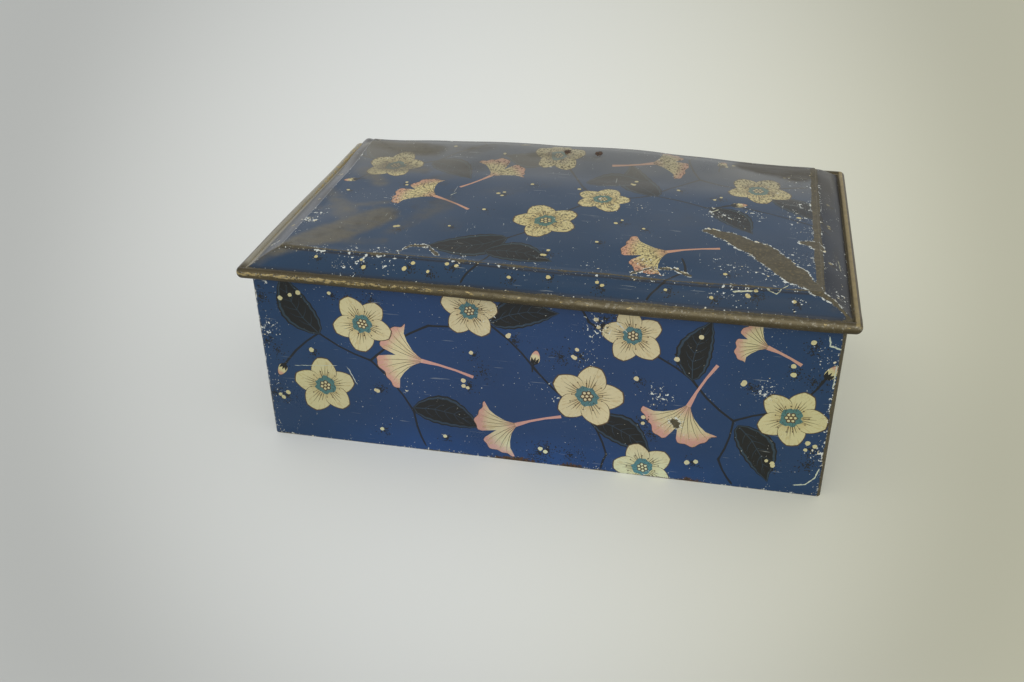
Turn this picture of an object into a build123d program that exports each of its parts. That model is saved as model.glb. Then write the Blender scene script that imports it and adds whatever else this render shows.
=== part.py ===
from build123d import *
import os
from math import acos, atan2, cos, degrees, hypot, radians, sin, sqrt

# A hinged box of thin tinplate for index cards. Millimetres; X to the right, Y to the back, Z up.
# The origin is at the middle of the rim that the box stands on.

# Driving dimensions: the body
tin = 0.3                       # thickness of all the sheet
body_width = 217.0              # over the outer faces of the walls
body_depth = 129.0
body_height = 75.4              # to the top of the hem
corner_radius = 1.5             # outside of the folded vertical corners
hem_depth = 4.0                 # wall turned down inside itself at the top
hem_gap = 0.1
bottom_recess = 4.2             # clear height under the bottom plate
seam_play = 0.05                # between sheets that are hooked into each other
lock_seam_x = 0.0               # middle of the seam in the back wall
lock_seam_width = 4.0           # between the folds of that seam
lock_seam_shoulder = 0.5        # flat wall kept beside the folds
lock_seam_clear = 0.6           # from the ends of the seam to the hem and to the bottom plate

# The lid
bead_gap = 0.9                  # from the rolled edge to the wall
lid_seat_play = 0.1             # between the foot of the band and the hem that it rests on
bead_mouth = 215.0              # where the roll ends, in degrees from straight outwards over the top
valley_angle = 170.0            # where the roll turns into the valley beside it
valley_radius = 0.35            # at the middle of the sheet, as the step's radii are
band_slope = 45.0               # of the curved band at its foot
band_width = 9.2
band_rise = 5.5
step_slope = 75.0
step_foot_radius = 0.45
step_head_radius = 0.6
strip_width = 2.4               # flat strip round the crowned panel
crown = 2.6                     # of the panel at its middle

# The hinge
wire_diameter = 2.4
wire_end_clear = 3.5            # from the ends of the wire to the middle of the side beads
hinge_play = 0.04               # between the wire and the loops round it
strap = 0.25                    # thickness of the straps
roll_play = 0.11                # between the loops and the rolled edge that turns on them
strap_width = 14.0
strap_spacing = 124.0
strap_lean = 20.0               # degrees from upright, between the loop and the wall
strap_bend_radius = 1.2
strap_leg = 12.0                # length that lies on the wall
strap_end_radius = 3.0
loop_mouth = 72.0               # degrees left open between the loop's end and its own leg
lid_opening = 105.0             # degrees
slot_past_opening = 2.0         # degrees that the slot in the roll goes past that
slot_before_mouth = 10.0        # degrees cut ahead of the roll's free edge, to open the slot there
slot_side_play = 0.4
slot_depth_play = 0.3

rivet_diameter = 2.0
rivet_play = 0.03
rivet_spacing = 7.0
rivet_head_diameter = 4.2
rivet_head_height = 1.0
rivet_tail_diameter = 3.4
rivet_tail_height = 0.6
rivet_tail_round = 0.25

# Derived dimensions
pitch = tin + seam_play                     # from one hooked sheet to the next
hem_radius = (tin + hem_gap) / 2            # middle of the sheet, as all the fold radii are
hook_radius = tin / 2 + seam_play
wall_back = body_depth / 2                  # outer face of the back wall

bead_diameter = wire_diameter + 2 * (hinge_play + strap + roll_play + tin)
bead_radius = bead_diameter / 2
curl_radius = bead_radius - tin / 2
bead_offset = bead_gap + bead_radius        # from the wall to the middle of the bead
bead_width = body_width + 2 * bead_offset
bead_depth = body_depth + 2 * bead_offset
hinge_y = bead_depth / 2
band_chord = hypot(band_width, band_rise)
band_bend = band_slope - degrees(atan2(band_rise, band_width))      # half the arc's turn
band_radius = band_chord / 2 / sin(radians(band_bend))

loop_inside = wire_diameter / 2 + hinge_play
loop_radius = loop_inside + strap / 2
lean_start = 180 - strap_lean               # where the strap leaves its loop
strap_face = lean_start + degrees(acos(loop_inside / bead_radius))
slot_end = strap_face + lid_opening + slot_past_opening


def heading(angle):
    return Vector(cos(radians(angle)), sin(radians(angle)))


def chain(start, angle, *moves):
    """Tangent lines and arcs from a point: a number is a run, a pair is an arc's radius and turn."""
    lines = []
    at = Vector(*start)
    for move in moves:
        if isinstance(move, tuple):
            line = JernArc(at, heading(angle), *move)
            angle += move[1]
        else:
            line = Line(at, at + heading(angle) * move)
        lines.append(line)
        at = line @ 1
    return lines


def upright(x, y=0.0, z=0.0):
    """A plane across a run along Y: its x is outwards, its y is up."""
    return Plane((x, y, z), x_dir=(1, 0, 0), z_dir=(0, -1, 0))


def folded_frame(section, width, depth, height, corner):
    """Carries a section round a rectangle, outside at x = 0, with its corners folded to a radius."""
    pieces = []
    for quarter in range(4):
        out, along = (depth, width) if quarter % 2 else (width, depth)
        run = along - 2 * corner
        side = extrude(upright(out / 2, -run / 2, height) * section, run, dir=(0, 1, 0))
        fold = revolve(upright(corner, 0, height) * section, Axis.Z, 90)
        turn = Rot(0, 0, 90 * quarter)
        pieces += [turn * side, turn * Pos(out / 2 - corner, run / 2) * fold]
    return Part() + pieces


def mitred_frame(section, width, depth, height):
    """Carries a section that lies inside x = 0 round a rectangle, with sharp mitred corners."""
    reach = -section.bounding_box().min.X + tin
    pieces = []
    for quarter in range(4):
        out, along = (depth, width) if quarter % 2 else (width, depth)
        side = extrude(upright(out / 2, -along / 2, height) * section, along, dir=(0, 1, 0))
        inner = (out / 2 - reach, along / 2 - reach)
        outer = (out / 2, along / 2)
        mitre = Polygon(inner, outer, (outer[0], -outer[1]), (inner[0], -inner[1]), align=None)
        wedge = extrude(mitre, 2 * height, dir=(0, 0, 1))
        pieces.append(Rot(0, 0, 90 * quarter) * (side & wedge))
    return Part() + pieces


def wall_section():
    """The wall from the end of its top hem to the end of the hook that holds the bottom plate."""
    hem_end = body_height - hem_depth
    hem_run = hem_depth - hem_radius - tin / 2
    wall_run = body_height - hem_radius - hook_radius - tin
    hook_run = bottom_recess - hook_radius - (hook_radius + tin / 2)
    lines = chain(
        (-tin / 2 - 2 * hem_radius, hem_end),
        90,
        hem_run,
        (hem_radius, -180),
        wall_run,
        (hook_radius, -90),
        2 * (pitch - hook_radius),
        (hook_radius, -90),
        hook_run,
    )
    return trace(lines, line_width=tin)


def lock_seam():
    """The two ends of the wall strip, hooked into each other in four layers on the inside."""
    middle = wall_back - tin / 2
    half = lock_seam_width / 2
    shoulder = lock_seam_shoulder
    covering = chain(
        (half + shoulder, middle), 180, lock_seam_width + shoulder, (pitch, 180), lock_seam_width
    )
    covered = chain(
        (-half - 3 * pitch - shoulder, middle),
        0,
        shoulder,
        (pitch, -90),
        (2 * pitch, 90),
        lock_seam_width,
        (pitch, 180),
        lock_seam_width,
    )
    layers = trace(covering, line_width=tin) + trace(covered, line_width=tin)
    low = bottom_recess + tin + lock_seam_clear
    high = body_height - hem_depth - lock_seam_clear
    gap_width = lock_seam_width + 2 * shoulder + 3 * pitch
    gap = Pos(-1.5 * pitch, middle, low) * Box(
        gap_width, 2 * tin, high - low, align=(Align.CENTER, Align.CENTER, Align.MIN)
    )
    place = Pos(lock_seam_x, 0, 0)
    return place * gap, place * Pos(0, 0, low) * extrude(layers, high - low, dir=(0, 0, 1))


def rivet_places(strap_x):
    z = strap_foot() + strap_leg / 2
    return [Pos(strap_x + side * rivet_spacing / 2, wall_back, z) for side in (-1, 1)]


def rivet_holes(strap_x):
    hole = Cylinder(rivet_diameter / 2 + rivet_play, 4 * (tin + strap), rotation=(90, 0, 0))
    return [place * hole for place in rivet_places(strap_x)]


def body_wall():
    wall = folded_frame(wall_section(), body_width, body_depth, 0, corner_radius)
    gap, seam = lock_seam()
    wall = wall - gap + seam
    for strap_x in strap_places.values():
        wall -= rivet_holes(strap_x)
    return wall


def bottom_plate():
    """A shallow tray, rim down, whose rim stands in the wall's hook."""
    inset = tin + seam_play
    rim_low = tin + seam_play
    outline = RectangleRounded(
        body_width - 2 * inset, body_depth - 2 * inset, corner_radius - inset
    )
    tray = extrude(Pos(0, 0, rim_low) * outline, bottom_recess + tin - rim_low)
    tray = fillet(tray.faces().sort_by(Axis.Z)[-1].edges(), hook_radius + tin)
    return offset(tray, amount=-tin, openings=tray.faces().sort_by(Axis.Z)[0])


def bead_lines():
    start = heading(bead_mouth) * curl_radius
    around = valley_angle + 360 - bead_mouth
    return chain(start, bead_mouth + 90, (curl_radius, around), (valley_radius, -(valley_angle - 90)))


def band_lines():
    return chain(
        bead_lines()[-1] @ 1,
        180,
        (valley_radius, -band_slope),
        (band_radius, 2 * band_bend),
        (step_foot_radius, band_slope - 2 * band_bend - step_slope),
        (step_head_radius, step_slope),
        strip_width,
    )


def seated_bead_height():
    """The middle of the bead, with the curved band just clear of the hem's rounded top."""
    hem = hem_radius + tin / 2
    centre = band_lines()[1].arc_center
    reach = band_radius - tin / 2 - lid_seat_play - hem
    hem_above_centre = sqrt(reach**2 - (bead_offset + hem + centre.X) ** 2)
    return body_height - hem - centre.Y - hem_above_centre


def crowned_panel(width, depth, top):
    """The middle of the lid: straight edges, and a smooth rise to the crown."""
    rise = 4 * crown            # the middle pole of a 3 by 3 net lifts the face by a quarter of it
    net = [
        [
            Vector(x * width / 2, y * depth / 2, top + (0 if x or y else rise))
            for y in (-1, 0, 1)
        ]
        for x in (-1, 0, 1)
    ]
    return extrude(Face.make_bezier_surface(net), tin, dir=(0, 0, -1))


def hinge_slot(strap_x):
    """What is cut from the roll under a strap, so that the strap can pass as the lid turns."""
    inside = curl_radius - tin / 2 - slot_depth_play
    outside = bead_radius + slot_depth_play
    length = strap_width + 2 * slot_side_play
    start = bead_mouth - slot_before_mouth
    blade = Pos(0, (inside + outside) / 2) * Rectangle(length, outside - inside)
    wedge = revolve(blade, Axis.X, slot_end - start)
    return Pos(strap_x, hinge_y, bead_height) * Rot(start, 0, 0) * wedge


def lid_shell():
    roll, rise = bead_lines(), band_lines()
    valley, inner = roll[-1] @ 1, rise[-1] @ 1
    bead = folded_frame(trace(roll, line_width=tin), bead_width, bead_depth, bead_height, -valley.X)
    band = mitred_frame(trace(rise, line_width=tin), bead_width, bead_depth, bead_height)
    panel = crowned_panel(
        bead_width + 2 * inner.X, bead_depth + 2 * inner.X, bead_height + inner.Y + tin / 2
    )
    lid = bead + band + panel
    for strap_x in strap_places.values():
        lid -= hinge_slot(strap_x)
    return lid


def hinge_wire():
    length = bead_width - 2 * wire_end_clear
    return Pos(0, hinge_y, bead_height) * Cylinder(
        wire_diameter / 2, length, rotation=(0, 90, 0)
    )


def strap_lines():
    """From the loop's end, round the wire, and down to the foot of the leg on the wall."""
    loop_end = lean_start + loop_mouth - 360
    leaves = heading(lean_start) * loop_radius
    wall_x = strap / 2 - bead_offset
    bend_shift = strap_bend_radius * (1 - cos(radians(strap_lean)))
    lean_run = (leaves.X - wall_x - bend_shift) / sin(radians(strap_lean))
    return chain(
        heading(loop_end) * loop_radius,
        loop_end + 90,
        (loop_radius, lean_start - loop_end),
        lean_run,
        (strap_bend_radius, strap_lean),
        strap_leg,
    )


def strap_foot():
    return bead_height + (strap_lines()[-1] @ 1).Y


def hinge_strap(strap_x):
    across = Plane((strap_x - strap_width / 2, hinge_y, bead_height), x_dir=(0, 1, 0), z_dir=(1, 0, 0))
    ribbon = extrude(across * trace(strap_lines(), line_width=strap), strap_width, dir=(1, 0, 0))
    foot = ribbon.edges().filter_by(Axis.Y).sort_by(Axis.Z)[:2]
    ribbon = fillet(foot, strap_end_radius)
    return ribbon - rivet_holes(strap_x)


def hinge_rivet():
    """Along Y, with the wall's outer face at y = 0: a domed head outside, a flat tail inside."""
    shank = rivet_diameter / 2
    head = rivet_head_diameter / 2
    tail = chain(
        (0, -tin - rivet_tail_height),
        0,
        rivet_tail_diameter / 2 - rivet_tail_round,
        (rivet_tail_round, 90),
        rivet_tail_height - rivet_tail_round,
    )
    grip = Polyline(tail[-1] @ 1, (shank, -tin), (shank, strap), (head, strap))
    top = (0, strap + rivet_head_height)
    ball_radius = (head**2 + rivet_head_height**2) / 2 / rivet_head_height
    dome = RadiusArc((head, strap), top, -ball_radius)
    middle = Line(dome @ 1, tail[0] @ 0)
    profile = make_face([*tail, grip, dome, middle])
    return Rot(-90, 0, 0) * revolve(Plane.XZ * profile, Axis.Z)


bead_height = seated_bead_height()
strap_places = {"left": -strap_spacing / 2, "right": strap_spacing / 2}

nodes = {
    "body_wall": body_wall(),
    "bottom_plate": bottom_plate(),
    "lid_shell": lid_shell(),
    "hinge_wire": hinge_wire(),
}
for side, strap_x in strap_places.items():
    nodes[f"hinge_strap_{side}"] = hinge_strap(strap_x)
    for number, place in enumerate(rivet_places(strap_x), start=1):
        nodes[f"hinge_rivet_{side}_{number}"] = place * hinge_rivet()

os.makedirs("parts", exist_ok=True)
for name, shape in nodes.items():
    export_step(shape, f"parts/{name}.step")
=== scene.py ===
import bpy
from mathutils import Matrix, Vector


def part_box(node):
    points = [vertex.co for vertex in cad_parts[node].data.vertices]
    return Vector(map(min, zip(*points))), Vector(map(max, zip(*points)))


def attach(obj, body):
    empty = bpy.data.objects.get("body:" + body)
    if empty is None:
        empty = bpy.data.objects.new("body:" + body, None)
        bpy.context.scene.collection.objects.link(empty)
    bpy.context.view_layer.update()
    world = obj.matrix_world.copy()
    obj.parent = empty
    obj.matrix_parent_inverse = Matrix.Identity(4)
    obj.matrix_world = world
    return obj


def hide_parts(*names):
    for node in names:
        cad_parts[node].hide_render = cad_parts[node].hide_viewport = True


bl_info = {
    "name": "Hinged Tin Card Box",
    "version": (1, 0, 0),
    "blender": (4, 5, 0),
    "location": "3D Viewport > Sidebar > Tin Box",
    "description": "Gives a hinged tin box for index cards its printed and worn finish",
    "category": "Add Mesh",
}

from functools import partialmethod
from math import asin, atan2, cos, exp, hypot, pi, radians, sin
from random import Random

import bpy
import numpy as np
from bpy.props import FloatProperty, FloatVectorProperty, PointerProperty
from mathutils import Matrix, Vector
from mathutils.geometry import delaunay_2d_cdt

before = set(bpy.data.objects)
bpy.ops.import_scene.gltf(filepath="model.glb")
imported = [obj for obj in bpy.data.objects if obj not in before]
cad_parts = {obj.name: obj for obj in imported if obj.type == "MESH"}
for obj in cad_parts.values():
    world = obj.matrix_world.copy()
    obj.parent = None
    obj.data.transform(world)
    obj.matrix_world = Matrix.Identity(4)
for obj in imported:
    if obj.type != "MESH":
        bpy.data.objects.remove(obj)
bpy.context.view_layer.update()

MM = 0.001


def length(name, description, millimetres):
    return FloatProperty(
        name=name, description=description, default=millimetres * MM, unit="LENGTH", precision=5)


def angle(name, description, in_degrees):
    return FloatProperty(
        name=name, description=description, default=radians(in_degrees), unit="ROTATION")


def colour(name, description, *on_screen):
    """A colour given as 0 to 255 on screen, kept as the linear values that Blender wants."""
    linear = []
    for level in on_screen:
        level /= 255
        linear.append(level / 12.92 if level <= 0.04045 else ((level + 0.055) / 1.055) ** 2.4)
    return FloatVectorProperty(
        name=name, description=description, default=linear, subtype="COLOR", size=3, min=0, max=1)


class TinBoxSizes(bpy.types.PropertyGroup):
    """Sizes of the sheet metal work that the finish follows."""

    sheet: length("Sheet", "Thickness of the tinplate", 0.3)
    fold_radius: length("Fold Radius", "Outside of the folds at the wall's top and foot", 0.35)
    corner_radius: length("Corner Radius", "Outside of the wall's upright corners", 1.5)
    print_lift: length("Print Lift", "Thickness of the ink and varnish on the wall", 0.04)

    roll_radius: length("Roll Radius", "Outside of the lid's rolled edge", 1.9)
    valley_angle: angle("Valley Angle", "Where the roll turns into the valley beside it", 150)
    valley_radius: length("Valley Radius", "Middle of the sheet in that valley", 0.35)
    roll_mouth: angle("Roll Mouth", "Where the roll's free edge ends", 215)
    slot_end: angle("Slot End", "How far the slots for the straps reach round the roll", 316.26)
    slot_width: length("Slot Width", "Along the roll", 14.8)
    slot_spacing: length("Slot Spacing", "Between the middles of the two slots", 124)
    roll_corner: length("Roll Corner", "Bend of the roll's middle at the lid's corners", 0.9)
    roll_dent: length("Roll Dent", "Depth of the small dents along the roll", 0.07)
    roll_squeeze: length("Roll Squeeze", "How far the roll is pressed flat at the front and sides", 0.34)
    front_sag: length("Front Sag", "How far the middle of the lid's front edge hangs down", 0.95)
    corner_down: length("Corner Down", "How far the lid's left end is pressed down towards the back", 0.95)
    corner_in: length("Corner In", "How far it is pressed in there", 0.35)

    band_slope: angle("Band Slope", "Of the curved band at its foot", 40)
    band_width: length("Band Width", "Of the curved band, seen from above", 9.47)
    band_rise: length("Band Rise", "Height that the band climbs", 4.83)
    step_slope: angle("Step Slope", "Of the small step over the band", 75)
    step_foot: length("Step Foot Radius", "Middle of the sheet at the step's foot", 0.45)
    step_head: length("Step Head Radius", "Middle of the sheet at the step's head", 0.6)
    strip_width: length("Strip Width", "Flat strip round the crowned panel", 2.4)
    crown: length("Crown", "Rise of the panel at its middle", 2.6)
    mitre_softness: length("Mitre Softness", "Width over which the mitres are rounded", 1.0)

    bulge_up: length("Bulge Up", "How far the back ridge has been pushed up", 3.4)
    bulge_back: length("Bulge Back", "How far the back ridge has been pushed back", 3.2)
    ripple: length("Ripple", "Height of the long ripples in the handled sheet", 0.12)


class TinBoxColours(bpy.types.PropertyGroup):
    """Colours of the inks and of the metals."""

    ground: colour("Ground", "Blue ground of the print", 33, 67, 114)
    varnish: colour("Varnish", "Tint of the lid's yellowed varnish", 241, 238, 208)
    # Painted glare along the lid's back ridge, greyish like a dull film; the lid's stains mix it in too.
    glare_grey: colour("Film", "Dull film along the lid's back ridge", 146, 142, 130)
    stain: colour("Stain", "Brown stains on the lid", 94, 87, 67)
    cream: colour("Cream", "Petals, fans and dots", 233, 219, 176)
    pink: colour("Pink", "Tips and stalks of the fans", 224, 168, 155)
    teal: colour("Teal", "Eyes of the blossoms", 88, 132, 136)
    leaf: colour("Leaf", "Black of the leaves", 27, 28, 30)
    twig: colour("Twig", "Dark line of the twigs", 27, 32, 42)
    vein: colour("Vein", "Blue-grey line work on the leaves", 50, 69, 87)
    line: colour("Line", "Brown line work", 92, 72, 50)
    chip: colour("Chip", "Pale undercoat where the print has chipped", 223, 226, 217)
    worn: colour("Worn Tin", "Rubbed and tarnished tin", 95, 88, 69)
    edge: colour("Edge Tin", "Olive tin of the rolled edge", 92, 81, 54)
    # Painted highlight along the upper side of the rolled edge.
    painted_sheen: colour("Edge Sheen", "Upper side of the rolled edge", 132, 121, 92)
    brass: colour("Brassy Tin", "Tin with a lacquer that has yellowed", 190, 168, 112)
    # Also painted as shade: under and atop the rolled edge, outside the left roll, on the lid's side bands
    # and in its creases.
    tarnish_and_shade: colour("Tarnish", "Dark tarnish in the hollows", 52, 44, 30)
    rust: colour("Rust", "Rust", 92, 64, 44)
    plain: colour("Plain Tin", "Unprinted tin inside the box", 176, 170, 152)
    steel: colour("Steel", "Hinge wire and rivets", 120, 112, 98)
    floor: colour("Floor", "Pale floor", 229, 229, 226)


class Field:
    """A number that varies over a surface: the output of a shader node, with arithmetic."""

    def __init__(self, finish, socket):
        self.finish = finish
        self.socket = socket

    def math(self, operation, *others):
        values = (self,) + others
        return self.finish.field("ShaderNodeMath", dict(enumerate(values)), operation=operation)

    __add__ = partialmethod(math, "ADD")
    __sub__ = partialmethod(math, "SUBTRACT")
    __mul__ = partialmethod(math, "MULTIPLY")
    __truediv__ = partialmethod(math, "DIVIDE")
    __abs__ = partialmethod(math, "ABSOLUTE")
    least = partialmethod(math, "MINIMUM")
    most = partialmethod(math, "MAXIMUM")
    power = partialmethod(math, "POWER")

    def less(self):
        """What is left of one."""
        return (self * -1.0) + 1.0

    def rise(self, low, high, start=0.0, end=1.0):
        """Goes smoothly from start to end between low and high."""
        inputs = {0: self, 1: low, 2: high, 3: start, 4: end}
        return self.finish.field("ShaderNodeMapRange", inputs, interpolation_type="SMOOTHSTEP")

    def fall(self, low, high):
        return self.rise(low, high, 1.0, 0.0)


def feed(tree, socket, value):
    """Links a socket to a Field or an output, or gives it a value."""
    if isinstance(value, Field):
        value = value.socket
    if isinstance(value, bpy.types.NodeSocket):
        tree.links.new(value, socket)
    elif socket.type == "RGBA" and len(value) == 3:
        socket.default_value = (*value, 1)
    else:
        socket.default_value = value


def add_node(tree, kind, inputs, **settings):
    node = tree.nodes.new(kind)
    for name, value in settings.items():
        setattr(node, name, value)
    for name, value in inputs.items():
        feed(tree, node.inputs[name], value)
    return node


class Finish:
    """Builds one procedural material, a coat of colour at a time. Places are in millimetres."""

    def __init__(self, name, **uniform):
        self.material = bpy.data.materials.new(name)
        self.material.use_nodes = True
        self.tree = self.material.node_tree
        self.shader = self.tree.nodes["Principled BSDF"]
        for socket, value in uniform.items():
            self.shader.inputs[socket.replace("_", " ")].default_value = value
        place = self.node("ShaderNodeTexCoord").outputs["Object"]
        scale = {"Vector": place, "Scale": (1 / MM, 1 / MM, 1 / MM)}
        self.place = self.node("ShaderNodeMapping", scale).outputs[0]
        self.base = None

    def feed(self, name, value):
        feed(self.tree, self.shader.inputs[name], value)

    def node(self, kind, inputs=None, **settings):
        return add_node(self.tree, kind, inputs or {}, **settings)

    def field(self, kind, inputs=None, **settings):
        return Field(self, self.node(kind, inputs, **settings).outputs[0])

    def split(self, vector):
        parts = self.node("ShaderNodeSeparateXYZ", {0: vector})
        return [Field(self, socket) for socket in parts.outputs]

    def stretched(self, scale, turn=(0, 0, 0)):
        inputs = {"Vector": self.place, "Scale": scale, "Rotation": turn}
        return self.node("ShaderNodeMapping", inputs).outputs[0]

    def noise(self, size, detail=2.0, roughness=0.5, place=None):
        """Cloudy values from 0 to 1, with lumps of about the given size."""
        inputs = {
            "Vector": place or self.place, "Scale": 1 / size, "Detail": detail,
            "Roughness": roughness}
        return self.field("ShaderNodeTexNoise", inputs)

    def grey(self, level):
        return self.node("ShaderNodeCombineXYZ", {0: level, 1: level, 2: level}).outputs[0]

    def mix(self, amount, first, second, blend="MIX"):
        inputs = {0: amount, 6: first, 7: second}
        return self.node(
            "ShaderNodeMix", inputs, data_type="RGBA", blend_type=blend).outputs[2]

    def coat(self, amount, colour_over, blend="MIX"):
        """Covers the base colour with another one, by an amount from 0 to 1."""
        self.base = self.mix(amount, self.base, colour_over, blend)

    def bump(self, height, depth):
        """Feeds a height from 0 to 1, worth depth in millimetres, to the shader."""
        inputs = {"Height": height, "Distance": depth * MM, "Strength": 1.0}
        self.feed("Normal", self.node("ShaderNodeBump", inputs).outputs[0])

    def close(self, roughness, metallic):
        self.feed("Base Color", self.base)
        self.feed("Roughness", roughness)
        self.feed("Metallic", metallic)
        return self.material


# Plain metals: clean and dark colour, share of rust, metallic, height of the grain, roughness
METALS = {
    "inside_of_lid": ("plain", "worn", 0.35, 0.75, 0.6, 0.34),
    "plain_tin": ("plain", "worn", 0.3, 0.78, 0.6, 0.34),
    "bottom_tin": ("plain", "worn", 0.6, 0.7, 0.8, 0.4),
    "hinge_wire_steel": ("steel", "tarnish_and_shade", 0.8, 0.9, 0.8, 0.4),
    "strap_tin": ("worn", "tarnish_and_shade", 0.5, 0.75, 0.8, 0.38),
    "rivet_steel": ("steel", "tarnish_and_shade", 0.6, 0.85, 1.0, 0.36),
}


def tarnished_metal(name, colours):
    """Metal with cloudy tarnish, fine scratches and specks of rust."""
    clean, dark, rust_share, metallic, grain, roughness = METALS[name]
    clean, dark = getattr(colours, clean), getattr(colours, dark)
    metal = Finish(name)
    clouds = metal.noise(14, detail=4, roughness=0.6)
    mottle = metal.noise(1.6, detail=3, roughness=0.6)
    along = metal.noise(0.6, detail=2, place=metal.stretched((0.06, 1, 1), (0, 0, 0.4)))
    across = metal.noise(0.6, detail=2, place=metal.stretched((1, 0.06, 1), (0, 0, -0.3)))
    scratch = along.rise(0.62, 0.7).most(across.rise(0.63, 0.7))
    tone = (clouds * 0.65 + mottle * 0.35).rise(0.3, 0.55) * 0.8 + 0.2
    metal.base = metal.mix(tone, dark, clean)
    metal.coat(scratch * 0.25, tuple(min(1, level * 1.5) for level in clean))
    rust_from = 0.86 - 0.25 * rust_share
    specks = metal.noise(2.2, detail=5, roughness=0.7) + clouds * 0.35
    specks = specks.rise(rust_from, rust_from + 0.07)
    metal.coat(specks, colours.rust)
    rough = mottle * 0.16 + (roughness - 0.08) + specks * 0.35 - scratch * 0.06
    metal.bump(mottle * 0.6 + specks * 0.4 + scratch * 0.2, 0.02 * grain)
    return metal.close(rough, specks.less() * metallic)


# The lid's shape


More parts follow.
